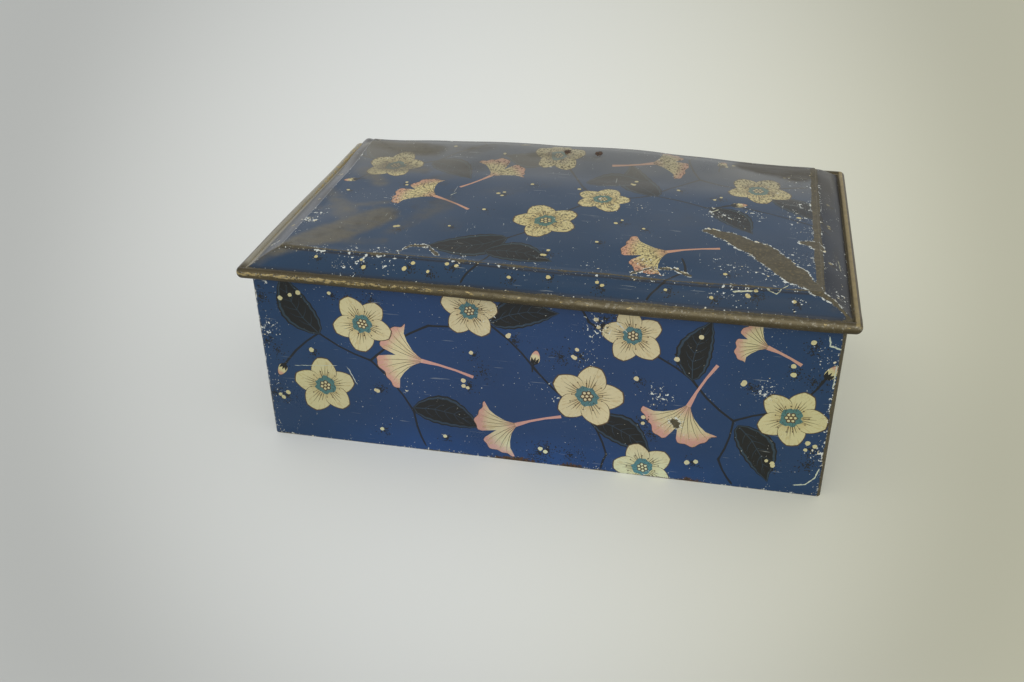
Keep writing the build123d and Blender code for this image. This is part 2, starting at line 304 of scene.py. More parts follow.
class LidShape:
    """The lid's upper surface, in millimetres, over a plan measured from the box's middle."""

    def __init__(self, sizes):
        for name in (
                "roll_radius", "mitre_softness", "crown", "bulge_up", "bulge_back", "ripple",
                "roll_squeeze", "front_sag", "corner_down", "corner_in"):
            setattr(self, name, getattr(sizes, name) / MM)
        low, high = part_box("lid_shell")
        half = sizes.sheet / MM / 2
        self.roll_x = high.x / MM - self.roll_radius
        self.roll_y = high.y / MM - self.roll_radius
        self.roll_z = low.z / MM + self.roll_radius

        # Arcs of the section, from the roll inwards: (from inset, to inset, middle, height of the
        # middle, radius, 1 where the middle is below the sheet or -1 where it is above).
        valley = sizes.valley_radius / MM
        reach = self.roll_radius - half + valley
        valley_x = -reach * cos(sizes.valley_angle)
        valley_z = reach * sin(sizes.valley_angle)
        radius = valley - half
        self.pivot = valley_x
        self.edge = valley_x + radius * cos(sizes.valley_angle)
        slope = sizes.band_slope
        arcs = [(self.edge, valley_x + radius * sin(slope), valley_x, valley_z, radius, -1)]

        width, rise = sizes.band_width / MM, sizes.band_rise / MM
        foot_x = valley_x + valley * sin(slope)
        foot_z = valley_z - valley * cos(slope)
        chord = atan2(rise, width)
        band_radius = hypot(rise, width) / (2 * sin(slope - chord))
        end_slope = 2 * chord - slope
        arcs.append((
            arcs[-1][1], foot_x + width - half * sin(end_slope),
            foot_x + band_radius * sin(slope), foot_z - band_radius * cos(slope),
            band_radius + half, 1))

        foot = sizes.step_foot / MM
        step = sizes.step_slope
        middle_x = foot_x + width - foot * sin(end_slope)
        middle_z = foot_z + rise + foot * cos(end_slope)
        foot_end = middle_x + (foot - half) * sin(step)
        arcs.append((arcs[-1][1], foot_end, middle_x, middle_z, foot - half, -1))
        head = sizes.step_head / MM
        middle_x += (foot + head) * sin(step)
        middle_z -= (foot + head) * cos(step)
        arcs.append((foot_end, middle_x, middle_x, middle_z, head + half, 1))
        self.arcs = arcs
        self.head = middle_x
        self.top = middle_z + head + half
        self.frame = self.head + sizes.strip_width / MM
        self.panel_x = self.roll_x - self.frame
        self.panel_y = self.roll_y - self.frame

    def inset(self, x, y):
        """Distance inwards from the middle of the roll, softened along the mitres."""
        side = self.roll_x - np.abs(x)
        front = self.roll_y - np.abs(y)
        near = np.minimum(side, front)
        width = self.mitre_softness
        soft = np.clip(width - np.abs(side - front), 0, None) / width
        fade = np.clip((near - self.pivot) / 2, 0, 1)
        inside = near - soft ** 2 * width / 4 * fade
        out = np.hypot(np.clip(self.pivot - side, 0, None), np.clip(self.pivot - front, 0, None))
        return np.where(near < self.pivot, self.pivot - out, inside)

    def section(self, inset):
        inset = np.maximum(inset, self.edge)
        height = np.full(inset.shape, self.top)
        for start, end, middle, middle_z, radius, bend in self.arcs:
            reach = np.sqrt(np.clip(radius ** 2 - (inset - middle) ** 2, 0, None))
            here = (inset >= start - NEXT_TO) & (inset < end)
            height = np.where(here, middle_z + bend * reach, height)
        return height

    def rings(self):
        """Insets at which the sheet is cut, close together where it bends."""
        rings = [self.edge]
        for (start, end, middle, _, radius, _), count in zip(self.arcs, CUTS_IN_ARCS):
            first = asin(max(-1, min(1, (start - middle) / radius)))
            last = asin(max(-1, min(1, (end - middle) / radius)))
            for step in range(1, count + 1):
                rings.append(middle + radius * sin(first + (last - first) * step / count))
        return rings + [self.head + 1.2, self.frame, self.frame + 1]

    def place(self, x, y):
        """Points of the upper surface over the plan points."""
        inset = self.inset(x, y)
        height = self.roll_z + self.section(inset)
        across = 1 - np.clip(np.abs(x) / self.panel_x, 0, 1) ** 2
        along = 1 - np.clip(np.abs(y) / self.panel_y, 0, 1) ** 2
        height = height + self.crown * across * along

        # The back ridge, pushed up and back between its corners. It eases off towards its crest.
        ridge = self.roll_y - self.head
        swell = sum(np.interp(x + aside, *zip(*RIDGE_SWELL)) for aside in (-6, -3, 0, 3, 6)) / 5
        ease = 0.1
        outer = smooth(y, self.roll_y - self.pivot - 0.8, ridge - 0.5)
        inner = smooth(y, ridge - 30, ridge - 6) * (1 - ease * smooth(y, ridge - 6, ridge)) ** 2
        push = swell * np.where(y > ridge, (1 - ease) ** 2 * outer, inner)
        push = push * smooth(inset, self.pivot, self.pivot + 4)
        height = height + self.bulge_up * push
        y = y + self.bulge_back * push

        # Dents and long ripples from handling, which the stiff edge keeps out.
        calm = np.clip((inset - self.pivot) / 6, 0, 1)
        wave = np.zeros_like(x)
        for length_mm, heading, phase in LID_RIPPLES:
            along = (x * cos(heading) + y * sin(heading)) / length_mm
            wave = wave + np.sin(2 * pi * along + phase) * length_mm / LID_RIPPLES[0][0]
        height = height + self.ripple * calm * wave
        for dent_x, dent_y, depth, radius in LID_DENTS:
            far = ((x - dent_x) ** 2 + (y - dent_y) ** 2) / radius ** 2
            height = height - depth * np.exp(-far) * smooth(inset, self.pivot, self.pivot + 3)
        return self.handled(np.stack((x, y, height), -1))

    def handled(self, points):
        """Presses the roll to an oval at the front and the sides, and bends the front down."""
        x, y, z = points[..., 0], points[..., 1], points[..., 2]
        side, front = np.abs(x) - self.roll_x, -y - self.roll_y

        roll = self.roll_radius

        def pressed(out):
            share = np.where(out > -roll, -out / roll, 1 - smooth(-out, roll, 7))
            return out + self.roll_squeeze * np.clip(share, -1, 1)

        x = np.sign(x) * (self.roll_x + pressed(side))
        y = -(self.roll_y + pressed(front))
        near = smooth(np.maximum(side, front), -roll - 2, -roll)
        ahead = 1 - smooth(y, self.roll_y - 9, self.roll_y - 3)
        stretch = 0.1
        z = z + (z - self.roll_z) * stretch * near * ahead

        # The front hangs, but for the foot of the band, which the roll stiffens.
        held = smooth(-front, roll + 0.1, roll + 0.9) * (1 - smooth(-front, 4.2, 9))
        hang = np.interp(x, *zip(*FRONT_SAG)) * (1 - 0.85 * held) * (1 - smooth(-front, 10, 34))
        z = z - self.front_sag * hang

        # The left end has been pressed down and in towards the back.
        rim = 1 - smooth(np.minimum(self.roll_x - np.abs(x), self.roll_y - np.abs(y)), 3, 12)
        leant = rim * smooth(-x, 103, 110) * smooth(y, -40, 48)
        return np.stack((x + self.corner_in * leant, y, z - self.corner_down * leant), -1)


def smooth(value, low, high):
    """0 at low, 1 at high, with a soft start and end."""
    share = np.clip((value - low) / (high - low), 0, 1)
    return share * share * (3 - 2 * share)


# How much of the bulge the back ridge has: x in millimetres, share.
RIDGE_SWELL = (
    (-112, 0.36), (-104, 0.52), (-90, 0.50), (-80, 0.58), (-39, 1.20), (-11, 1.12), (17, 1.25),
    (29, 1.16), (42, 0.83), (60, 0.60), (80, 0.38), (100, 0.36), (112, 0.36),
)
# How much of the sag the front edge has: x in millimetres, share
FRONT_SAG = (
    (-112, 0), (-60, 0), (-30, 0.12), (0, 0.7), (20, 1), (45, 1), (70, 0.85), (100, 0.75), (112, 0.3),
)
# Long ripples: length in millimetres, heading and phase. The longest is the highest.
LID_RIPPLES = ((61, 0.3, 0.4), (43, 1.9, 2.1), (35, 2.6, 4.4), (27, 1.1, 5.2), (19, 0.7, 1.3))
# Cuts in the valley, the band and the step's foot and head
CUTS_IN_ARCS = (6, 11, 5, 6)
# A gap that is too small to see, in millimetres
NEXT_TO = 1e-6
# Dents in the lid: x, y, depth and radius in millimetres. The two small deep ones at the back
# have rusted, and the mitre at the left back corner stands up instead.
LID_DENTS = (
    (-104.5, 62, -1.7, 5.0),
    (-6.9, 44.6, 0.55, 1.9), (6.9, 44.2, 0.6, 2.0),
    (-50, -18, 0.45, 17), (38, 8, 0.35, 20), (74, -34, 0.4, 9), (-84, 6, 0.3, 14),
    (-20, -44, 0.3, 9), (49, -49, 0.25, 6), (12, 30, 0.35, 15), (-66, 40, 0.3, 10),
)


class WallShape:
    """The outside of the four walls, unrolled. Along runs from the seam in the middle of the back
    to the left wall, the front and the right wall, and up is the height."""

    def __init__(self, sizes):
        _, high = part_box("body_wall")
        self.half_x = high.x / MM
        self.half_y = high.y / MM
        self.height = high.z / MM
        self.corner = sizes.corner_radius / MM
        self.fold = sizes.fold_radius / MM
        self.lift = sizes.print_lift / MM
        flat_x = 2 * (self.half_x - self.corner)
        flat_y = 2 * (self.half_y - self.corner)
        bend = pi / 2 * self.corner
        self.stops = np.cumsum(
            [0, flat_x / 2, bend, flat_y, bend, flat_x, bend, flat_y, bend, flat_x / 2])
        # The print ends part of the way round the folds.
        self.low = self.fold * (1 - radians(50))
        self.high = self.height - self.fold + self.fold * radians(80)

    def along(self, wall, place):
        """The unrolled place of a point on a wall, from its x or y."""
        stops = self.stops
        middles = {"left": (stops[2] + stops[3]) / 2, "front": (stops[4] + stops[5]) / 2,
                   "right": (stops[6] + stops[7]) / 2}
        if wall == "left":
            return middles[wall] - place
        if wall == "back":
            return -place if place <= 0 else stops[-1] - place
        return middles[wall] + place

    def place(self, along, up):
        """Points on the print over the unrolled points."""
        top, foot = self.height - self.fold, self.fold
        past = np.where(up > top, up - top, np.where(up < foot, foot - up, 0))
        bend = past / self.fold
        inset = (self.fold + self.lift) * (1 - np.cos(bend)) - self.lift
        rise = (self.fold + self.lift) * np.sin(bend)
        height = np.where(up > top, top + rise, np.where(up < foot, foot - rise, up))

        # Flat parts have even numbers, and the corner after each has the next odd one.
        part = np.clip(np.searchsorted(self.stops, along, side="right") - 1, 0, 8)
        run = along - self.stops[part]
        depth = self.corner - inset
        flat_x, flat_y = self.half_x - self.corner, self.half_y - self.corner
        starts = ((0, flat_y, 90), (-flat_x, flat_y, 180), (-flat_x, -flat_y, 270),
                  (flat_x, -flat_y, 0), (flat_x, flat_y, 90))
        x, y = np.zeros_like(along), np.zeros_like(along)
        for number, (from_x, from_y, facing) in enumerate(starts):
            here = part == 2 * number
            out = direction(facing)
            x = np.where(here, from_x - run * out.imag + depth * out.real, x)
            y = np.where(here, from_y + run * out.real + depth * out.imag, y)
        for number, (middle_x, middle_y, facing) in enumerate(starts[1:]):
            here = part == 2 * number + 1
            turned = radians(facing - 90) + run / self.corner
            x = np.where(here, middle_x + depth * np.cos(turned), x)
            y = np.where(here, middle_y + depth * np.sin(turned), y)
        return np.stack((x, y, height), -1)


def add_object(name, data):
    made = bpy.data.objects.new(name, data)
    bpy.context.scene.collection.objects.link(made)
    return made


# The print: flat outlines as complex numbers, in millimetres


def direction(in_degrees):
    return complex(cos(radians(in_degrees)), sin(radians(in_degrees)))


# Kinds of ink: flat, a petal's with a shaded middle, and a fan's with blushing tips
FLAT, PETAL, FAN = 0, 1, 2


class Print:
    """Collects printed shapes in the order in which they are inked, the last on top."""

    def __init__(self, colours, seed, dot_radius):
        self.colours = colours
        self.random = Random(seed)
        self.dot_radius = dot_radius
        self.shapes = []

    def lay_out(self, layout, at):
        """Inks a layout, one kind of motif after another. Its rows are grouped by surface, and
        at gives the place of a point on a surface."""
        for kind, groups in layout:
            for surface, *rows in groups:
                for row in rows:
                    if isinstance(row[0], tuple):
                        knots = [at(surface, *item) for item in row if isinstance(item, tuple)]
                        getattr(self, kind)(knots, *row[len(knots):])
                    else:
                        getattr(self, kind)(at(surface, *row[:2]), *row[2:])

    def ink(self, outline, name, centre=0j, size=1.0, turn=0.0, kind=FLAT):
        """Adds an outline given about its own middle, at a size and turn."""
        unit = size * direction(turn)
        points = [centre + unit * point for point in outline]
        area = sum((a.conjugate() * b).imag for a, b in zip(points, points[1:] + points[:1]))
        if area < 0:
            points.reverse()
        self.shapes.append((points, tuple(getattr(self.colours, name)), centre, unit, kind))

    def disc(self, centre, radius, name, sides, wobble=0.08):
        ring = []
        start = self.random.uniform(0, 360)
        for side in range(sides):
            reach = 1 + self.random.uniform(-wobble, wobble)
            ring.append(reach * direction(start + 360 * side / sides))
        self.ink(ring, name, centre, radius)

    def stroke(self, points, widths, name):
        """A line through the points, each with its own width."""
        left, right = [], []
        for number, point in enumerate(points):
            before = points[max(number - 1, 0)]
            after = points[min(number + 1, len(points) - 1)]
            side = 1j * (after - before) / abs(after - before)
            left.append(point + side * widths[number] / 2)
            right.append(point - side * widths[number] / 2)
        self.ink(left + right[::-1], name)

    def twig(self, knots):
        """A dark branch with a slight kink and a thickening at each knot."""
        width = 0.85
        points, widths = [], []
        for number, (start, end) in enumerate(zip(knots, knots[1:])):
            for step in (0.0, 0.1, 0.4, 0.7, 0.92):
                bow = 1j * (end - start) * 0.05 * sin(pi * step) * (-1) ** number
                points.append(start + (end - start) * step + bow)
                swollen = 1.35 if step == 0 and number else 1
                widths.append(width * swollen * self.random.uniform(0.85, 1.1))
        points.append(knots[-1])
        widths.append(width * 0.4)
        self.stroke(points, widths, "twig")

    def leaf(self, centre, size, turn):
        """A dark pointed leaf with a fine pale outline and veins, its stalk at the centre."""
        wide = 0.2

        def spine(share):
            return complex(share, 0.10 * sin(pi * share))

        def outline(scale):
            half = []
            for step in range(1, 15):
                tooth = 0.014 * (step % 2)
                half.append(wide * sin(pi * (step / 15) ** 0.85) ** 0.8 * scale + tooth)
            upper = [spine(step / 15) + 1j * out for step, out in enumerate(half, 1)]
            lower = [spine(step / 15) - 1j * out for step, out in enumerate(half, 1)]
            return [0j] + upper + [1.06 + 0j] + lower[::-1]

        unit = size * direction(turn)
        self.ink(outline(1.24), "leaf", centre - unit * 0.02, size * 1.05, turn)
        self.ink(outline(1.14), "vein", centre - unit * 0.01, size * 1.03, turn)
        self.ink(outline(1.0), "leaf", centre, size, turn)
        midrib = [centre + unit * spine(share) for share in (0.02, 0.3, 0.6, 0.93)]
        self.stroke(midrib, [0.34, 0.28, 0.2, 0.08], "vein")
        for number in range(5):
            start = 0.16 + 0.15 * number
            reach = 0.13 * sin(pi * (start + 0.1)) + 0.02
            for side in (-1j, 1j):
                rib = [spine(start) + step for step in (0, 0.07 + side * reach * 0.62, 0.15 + side * reach)]
                self.stroke([centre + unit * point for point in rib], [0.2, 0.16, 0.06], "vein")

    def fan(self, centre, size, turn):
        """A fan-shaped leaf: a notched, wavy outer edge on a long stalk."""
        spread = 58
        unit = size * direction(turn)
        phase = self.random.uniform(0, 2 * pi)
        outer = []
        for step in range(41):
            around = -1 + step / 20
            reach = 0.95 + 0.035 * cos(9 * around + phase) + 0.02 * cos(23 * around + phase)
            reach -= 0.34 * exp(-(around / 0.075) ** 2) + 0.10 * abs(around) ** 3
            outer.append(reach * direction(spread * around))
        side = [t * direction(spread * (0.30 + 0.70 * t ** 0.8)) for t in (0.06, 0.2, 0.36, 0.54, 0.7)]
        outline = [point.conjugate() for point in side] + outer + side[::-1]
        stalk = [centre + unit * complex(-t, 0.12 * t * t) for t in (-0.1, 0.25, 0.6, 0.95)]
        self.stroke(stalk, [1.9, 1.0, 0.9, 1.3], "pink")
        self.ink([point * 1.012 for point in outline], "line", centre, size, turn)
        self.ink(outline, "cream", centre, size, turn, kind=FAN)
        for number in (-4, -3, -2, -1, 1, 2, 3, 4):
            around = number / 4.5
            rib = [centre + unit * t * direction(spread * around * (0.45 + 0.5 * t))
                   for t in (0.1, 0.4, 0.66, 0.84)]
            self.stroke(rib, [0.10, 0.2, 0.16, 0.06], "line")

    def blossom(self, centre, size, turn):
        """Five broad petals round a speckled eye."""
        petal = []
        for step in range(11):
            share = step / 10
            reach = 0.16 + 0.86 * share
            half = 0.385 * sin(pi * share ** 0.72) ** 0.62 if 0 < step < 10 else 0.03
            notch = 0.09 * max(0, 1 - half / 0.16) * (share > 0.8)
            petal.append(complex(reach - notch, half))
        petal += [point.conjugate() for point in petal[::-1]]
        for number in range(5):
            facing = turn + 72 * number + self.random.uniform(-4, 4)
            reach = size * self.random.uniform(0.93, 1.04)
            self.ink([0.12 + (point - 0.12) * 1.045 for point in petal], "line", centre, reach, facing)
            self.ink(petal, "cream", centre, reach, facing, kind=PETAL)
            for lean, end in ((-13, 0.62), (-4, 0.74), (6, 0.66), (15, 0.55)):
                rib = [centre + reach * t * direction(facing + lean) for t in (0.3, 0.5, end)]
                self.stroke(rib, [0.24, 0.2, 0.06], "line")
        self.disc(centre, size * 0.31, "teal", 22, 0.16)
        for number in range(13):
            ray = direction(turn + 360 * number / 13 + self.random.uniform(-6, 6))
            reach = self.random.uniform(0.38, 0.5) * size
            self.stroke([centre + 0.27 * size * ray, centre + reach * ray], [0.16, 0.12], "line")
            self.disc(centre + reach * ray, 0.30, "line", 7)
        for number in range(26):
            ray = direction(self.random.uniform(0, 360)) * self.random.uniform(0.2, 0.3) * size
            self.disc(centre + ray, 0.16, "leaf", 5)
        places = [0j] + [0.115 * size * direction(turn + 60 * number) for number in range(6)]
        for radius, name, sides in ((0.072, "line", 9), (0.042, "cream", 7)):
            for place in places:
                self.disc(centre + place, radius * size, name, sides)

    def bud(self, centre, size, turn):
        """A closed bud in its dark cup."""
        unit = size * direction(turn)
        body = [0.5 + complex(0.55 * cos(a), 0.30 * sin(a) * (1.05 - 0.25 * cos(a)))
                for a in (2 * pi * n / 16 for n in range(16))]
        stalk = [centre + unit * point for point in (-0.7, -0.3 + 0.08j, 0)]
        self.stroke(stalk, [0.6, 0.6, 0.9], "twig")
        self.ink([point * 1.05 for point in body], "line", centre, size, turn)
        self.ink(body, "cream", centre, size, turn, kind=FAN)
        side = [0.05 + 0.26j, 0.5 + 0.27j, 0.28 + 0.08j]
        cup = [-0.12 + 0j] + [point.conjugate() for point in side] + [0.55 + 0j] + side[::-1]
        self.ink(cup, "leaf", centre, size, turn)

    def dots(self, centre, count):
        """Cream dots, one or a few together, with dark stipple beside them."""
        self.stipple(centre + complex(1.0, -0.9), 3.6, 34 + 16 * count)
        apart = 1.9 if count > 1 else 0
        for number in range(count):
            place = direction(self.random.uniform(0, 360) + 130 * number) * apart
            radius = self.dot_radius * self.random.uniform(0.75, 1.1)
            self.disc(centre + place, radius, "cream", 11, 0.12)

    def stipple(self, centre, radius, count):
        """A cloud of fine dark dots, denser in its middle."""
        for _ in range(count):
            reach = radius * abs(self.random.gauss(0, 0.5))
            self.disc(centre + reach * direction(self.random.uniform(0, 360)),
                      self.random.uniform(0.15, 0.32), "leaf", 5)

    def scrape(self, points, width):
        """A ragged pale scratch through the ink."""
        whole = []
        for start, end in zip(points, points[1:]):
            count = max(2, round(abs(end - start) / 0.8))
            whole += [start + (end - start) * step / count for step in range(count)]
        whole.append(points[-1])
        nudged = [point + self.random.uniform(-0.12, 0.12) * (1 + 1j) for point in whole]
        widths = [width * self.random.uniform(0.4, 1.2) for _ in whole]
        widths[0] = widths[-1] = width * 0.2
        self.stroke(nudged, widths, "chip")


def cut_sheet(outline, lines, shapes, spots):
    """Cuts a flat sheet along its lines and printed shapes. Gives its points, its triangles and
    the number of the topmost shape on each triangle, or -1."""
    points, faces, edges = [], [], []

    def add(loop):
        faces.append(list(range(len(points), len(points) + len(loop))))
        points.extend(loop)

    add(outline)
    for shape in shapes:
        add(shape[0])
    for line in lines:
        for number in range(len(line) - 1):
            edges.append((len(points) + number, len(points) + number + 1))
        points.extend(line)
    points.extend(spots)
    flat = [Vector((point.real, point.imag)) for point in points]
    every_triangle, merged_within, with_owners = 0, 1e-4, True
    cut = delaunay_2d_cdt(flat, edges, faces, every_triangle, merged_within, with_owners)
    corners = np.array([tuple(point) for point in cut[0]])
    kept = [(face, max(owners) - 1) for face, owners in zip(cut[2], cut[5]) if 0 in owners]
    triangles = np.array([face for face, _ in kept])
    top = np.array([owner for _, owner in kept])
    return corners, triangles, top


def facing_of(place, u, v, step=0.004):
    """Unit normals of a surface given by place(u, v)."""
    along = place(u + step, v) - place(u - step, v)
    across = place(u, v + step) - place(u, v - step)
    facing = np.cross(along, across)
    return facing / np.linalg.norm(facing, axis=-1, keepdims=True)


# Distance from any wear, in millimetres, on a sheet that has none
UNWORN = 9.0


class SheetMesh:
    """Gathers cut sheets and makes one mesh of them, with shading that follows the surface."""

    def __init__(self):
        self.sheets = []
        self.count = 0

    def add(self, cut, place, shapes=(), ground=(0, 0, 0), wear=None, slot=0, inner=0.0):
        """Lays a cut sheet on a surface. With inner, it is the far side of a sheet that thick."""
        plan, triangles, top = cut
        # Each normal is taken a little inside its triangle, so that a crease stays sharp.
        middle = plan[triangles].mean(1, keepdims=True)
        near = plan[triangles] + (middle - plan[triangles]) * 0.03
        normals = facing_of(place, near[..., 0], near[..., 1])
        points = place(plan[:, 0], plan[:, 1])
        if inner:
            points = points - inner * facing_of(place, plan[:, 0], plan[:, 1], 0.05)
            triangles = triangles[:, ::-1]
            normals = -normals[:, ::-1]
        inks = np.ones((len(triangles), 3, 4))
        motifs = np.zeros((len(triangles), 3, 3))
        inks[..., :3] = ground
        if shapes:
            chosen = np.clip(top, 0, None)
            printed = (top >= 0)[:, None, None]
            shades, centres, units, kinds = (
                np.array(column)[chosen][:, None] for column in list(zip(*shapes))[1:])
            flat = plan[triangles][..., 0] + 1j * plan[triangles][..., 1]
            local = (flat - centres) / units
            inks[..., :3] = np.where(printed, shades, inks[..., :3])
            motif = np.stack((local.real, local.imag, np.broadcast_to(kinds, local.shape)), -1)
            motifs = np.where(printed, motif, motifs)
        wears = wear(plan[:, 0], plan[:, 1]) if wear else np.full((len(plan), 6), UNWORN)
        slots = np.full(len(triangles), slot, np.int32)
        self.sheets.append((points, triangles + self.count, normals, inks, motifs, wears, slots))
        self.count += len(plan)

    def make(self, name, materials):
        points, triangles, normals, inks, motifs, wears, slots = (
            np.concatenate(arrays) for arrays in zip(*self.sheets))
        mesh = bpy.data.meshes.new(name)
        mesh.from_pydata((points * MM).tolist(), [], triangles.tolist())
        for material in materials:
            mesh.materials.append(material)
        mesh.polygons.foreach_set("material_index", slots)
        mesh.polygons.foreach_set("use_smooth", np.ones(len(triangles), bool))
        # The attribute after the stain holds painted shade.
        for kind, data_type, domain, key, values in (
                ("ink", "FLOAT_COLOR", "CORNER", "color", inks),
                ("motif", "FLOAT_VECTOR", "CORNER", "vector", motifs),
                ("wear", "FLOAT_COLOR", "POINT", "color", wears[:, :4]),
                ("stain", "FLOAT", "POINT", "value", wears[:, 4]),
                ("grime", "FLOAT", "POINT", "value", wears[:, 5])):
            data = mesh.attributes.new(kind, data_type, domain).data
            data.foreach_set(key, values.astype(np.float32).ravel())
        mesh.update()
        mesh.normals_split_custom_set(normals.reshape(-1, 3).tolist())
        return add_object(name, mesh)


# Wear, in millimetres on the plan of each surface


def to_stroke(x, y, start, end, radius, end_radius):
    """Distance outside a stroke from start to end, each a point, with a radius at each end."""
    run_x, run_y = end[0] - start[0], end[1] - start[1]
    length_2 = max(run_x ** 2 + run_y ** 2, 1e-9)
    share = np.clip(((x - start[0]) * run_x + (y - start[1]) * run_y) / length_2, 0, 1)
    far = np.hypot(x - start[0] - share * run_x, y - start[1] - share * run_y)
    return far - radius - (end_radius - radius) * share


def nearest_stroke(x, y, strokes):
    far = np.full(x.shape, 99.0)
    for stroke in strokes:
        far = np.minimum(far, to_stroke(x, y, *stroke))
    return far


def near_spots(x, y, spots, reach, height=None):
    """Share of wear near spots, each with x, y, a radius and perhaps a density. It is whole in
    the middle and ends at the reach in radii. A height flattens the spots."""
    share = np.zeros_like(x)
    for spot_x, spot_y, radius, *density in spots:
        far = np.hypot((x - spot_x) / radius, (y - spot_y) / (height or radius))
        share = np.maximum(share, np.clip(reach - far, 0, 1) * (density or (1,))[0])
    return share


def around_strokes(strokes):
    """Points beside strokes, so that the wear is sharp there."""
    points = []
    for start, end, radius, end_radius in strokes:
        run = complex(*end) - complex(*start)
        count = max(2, round(abs(run) / 1.6))
        for step in range(count + 1):
            middle = complex(*start) + run * step / count
            reach = radius + (end_radius - radius) * step / count
            for aside in (0, reach - 0.7, reach, reach + 0.8, reach + 1.9):
                for side in (-1, 1):
                    points.append(middle + side * aside * 1j * run / abs(run))
    return points


# Bare places on the lid: start, end and the radius at each
LID_BARE = (
    ((57, -16.5), (66, -20), 1.2, 3.4), ((66, -20), (80, -31), 3.4, 5.4),
    ((80, -31), (90, -45), 5.4, 4.8), ((90, -45), (97.5, -54), 4.8, 2.2),
    ((97, -53), (104, -60), 1.6, 1.1), ((92.5, -18.5), (98, -20), 1.2, 3.2),
)
# Thin rubbed arcs behind the front edge of the panel
LID_ARCS = (
    ((-54, -52.8), (-50.5, -47.4), 0.5, 0.5), ((-50.5, -47.4), (-44, -46.4), 0.5, 0.8),
    ((-44, -46.4), (-38.5, -52.6), 0.7, 0.4), ((33, -52.6), (40, -48.2), 0.3, 0.6),
    ((40, -48.2), (48, -47.2), 0.6, 0.7), ((48, -47.2), (54, -50.6), 0.6, 0.4),
)
# Soft stains on the lid: start, end, the radius at each and the strength
LID_STAINS = (
    ((-100, 50), (-84, 47), 4, 7, 0.85), ((-84, 47), (-66, 42), 8, 5, 0.8),
    ((-84, 26), (-66, 24), 7, 5, 0.55), ((-92, 22), (-80, 8), 5, 4, 0.6),
    ((-99, -56), (-84, -42), 4, 9, 0.85), ((-84, -42), (-70, -24), 9, 8, 0.8),
    ((-98, -20), (-72, -12), 2.5, 3, 0.6), ((-50, 42), (-34, 48), 6, 4, 0.4),
    ((-22, 41), (8, 40), 2.2, 2.4, 0.6), ((26, 46), (60, 52), 4, 3, 0.3),
    ((70, 50), (92, 47), 5, 8, 1.1), ((92, 48), (98, 44), 6, 3, 0.9),
    ((-97, -50), (-62, -45), 3, 3, 0.5), ((-62, -38), (-48, -12), 4, 8, 0.4),
    ((-99, -2), (-84, -24), 4, 7, 0.5), ((-60, 10), (-44, 28), 5, 7, 0.35),
    ((-30, 4), (-8, 16), 8, 6, 0.25), ((20, -20), (50, -8), 8, 10, 0.2),
    ((70, 8), (96, 6), 2, 2.5, 0.4), ((-60, -8), (-40, -30), 6, 7, 0.25),
    ((-105, -62), (-94, -52), 2, 4, 0.85), ((-96, -48), (-90, -44), 3, 2, 0.5),
    ((103, -62), (108, -50), 2, 1.5, 0.4), ((105, -28), (106, -14), 1.5, 1, 0.5),
)
# Rusted dents: x, y and radius
LID_RUST = ((-6.9, 44.6, 2.0), (6.9, 44.2, 2.0))
# Places where the lid's print has many small chips: x, y, radius, density
LID_CHIPPED = (
    (-97, -32, 4, 1.7), (-95, -24, 4, 1.5), (-98, -42, 4, 1.1), (-106, -48, 5, 1.0), (-84, -55, 6, 0.8),
    (-72, -54, 6, 0.8), (-60, -53, 6, 0.8), (-48, -48, 8, 0.5), (-30, -52, 7, 0.7),
    (94, -34, 12, 0.85), (84, -48, 11, 0.8), (68, -44, 9, 0.7), (62, -2, 9, 0.9),
    (76, 2, 8, 0.8), (92, 4, 9, 0.9), (97, -8, 6, 1.1), (97, 16, 8, 0.9), (97, 36, 9, 0.7),
    (12, 4, 8, 0.7), (30, 0, 8, 0.6), (-86, 36, 8, 0.5), (-70, -6, 10, 0.5), (-92, -4, 8, 0.6),
    (84, 26, 10, 0.5), (70, -59, 9, 0.8), (92, -60, 6, 0.7), (-70, -60, 8, 0.8),
    (-56, -59, 7, 0.8), (40, -50, 9, 0.9), (20, -52, 8, 0.6), (-4, -53, 8, 0.5),
    (106, -30, 8, 0.7), (105, -52, 7, 0.8), (105, 10, 10, 0.4),
)


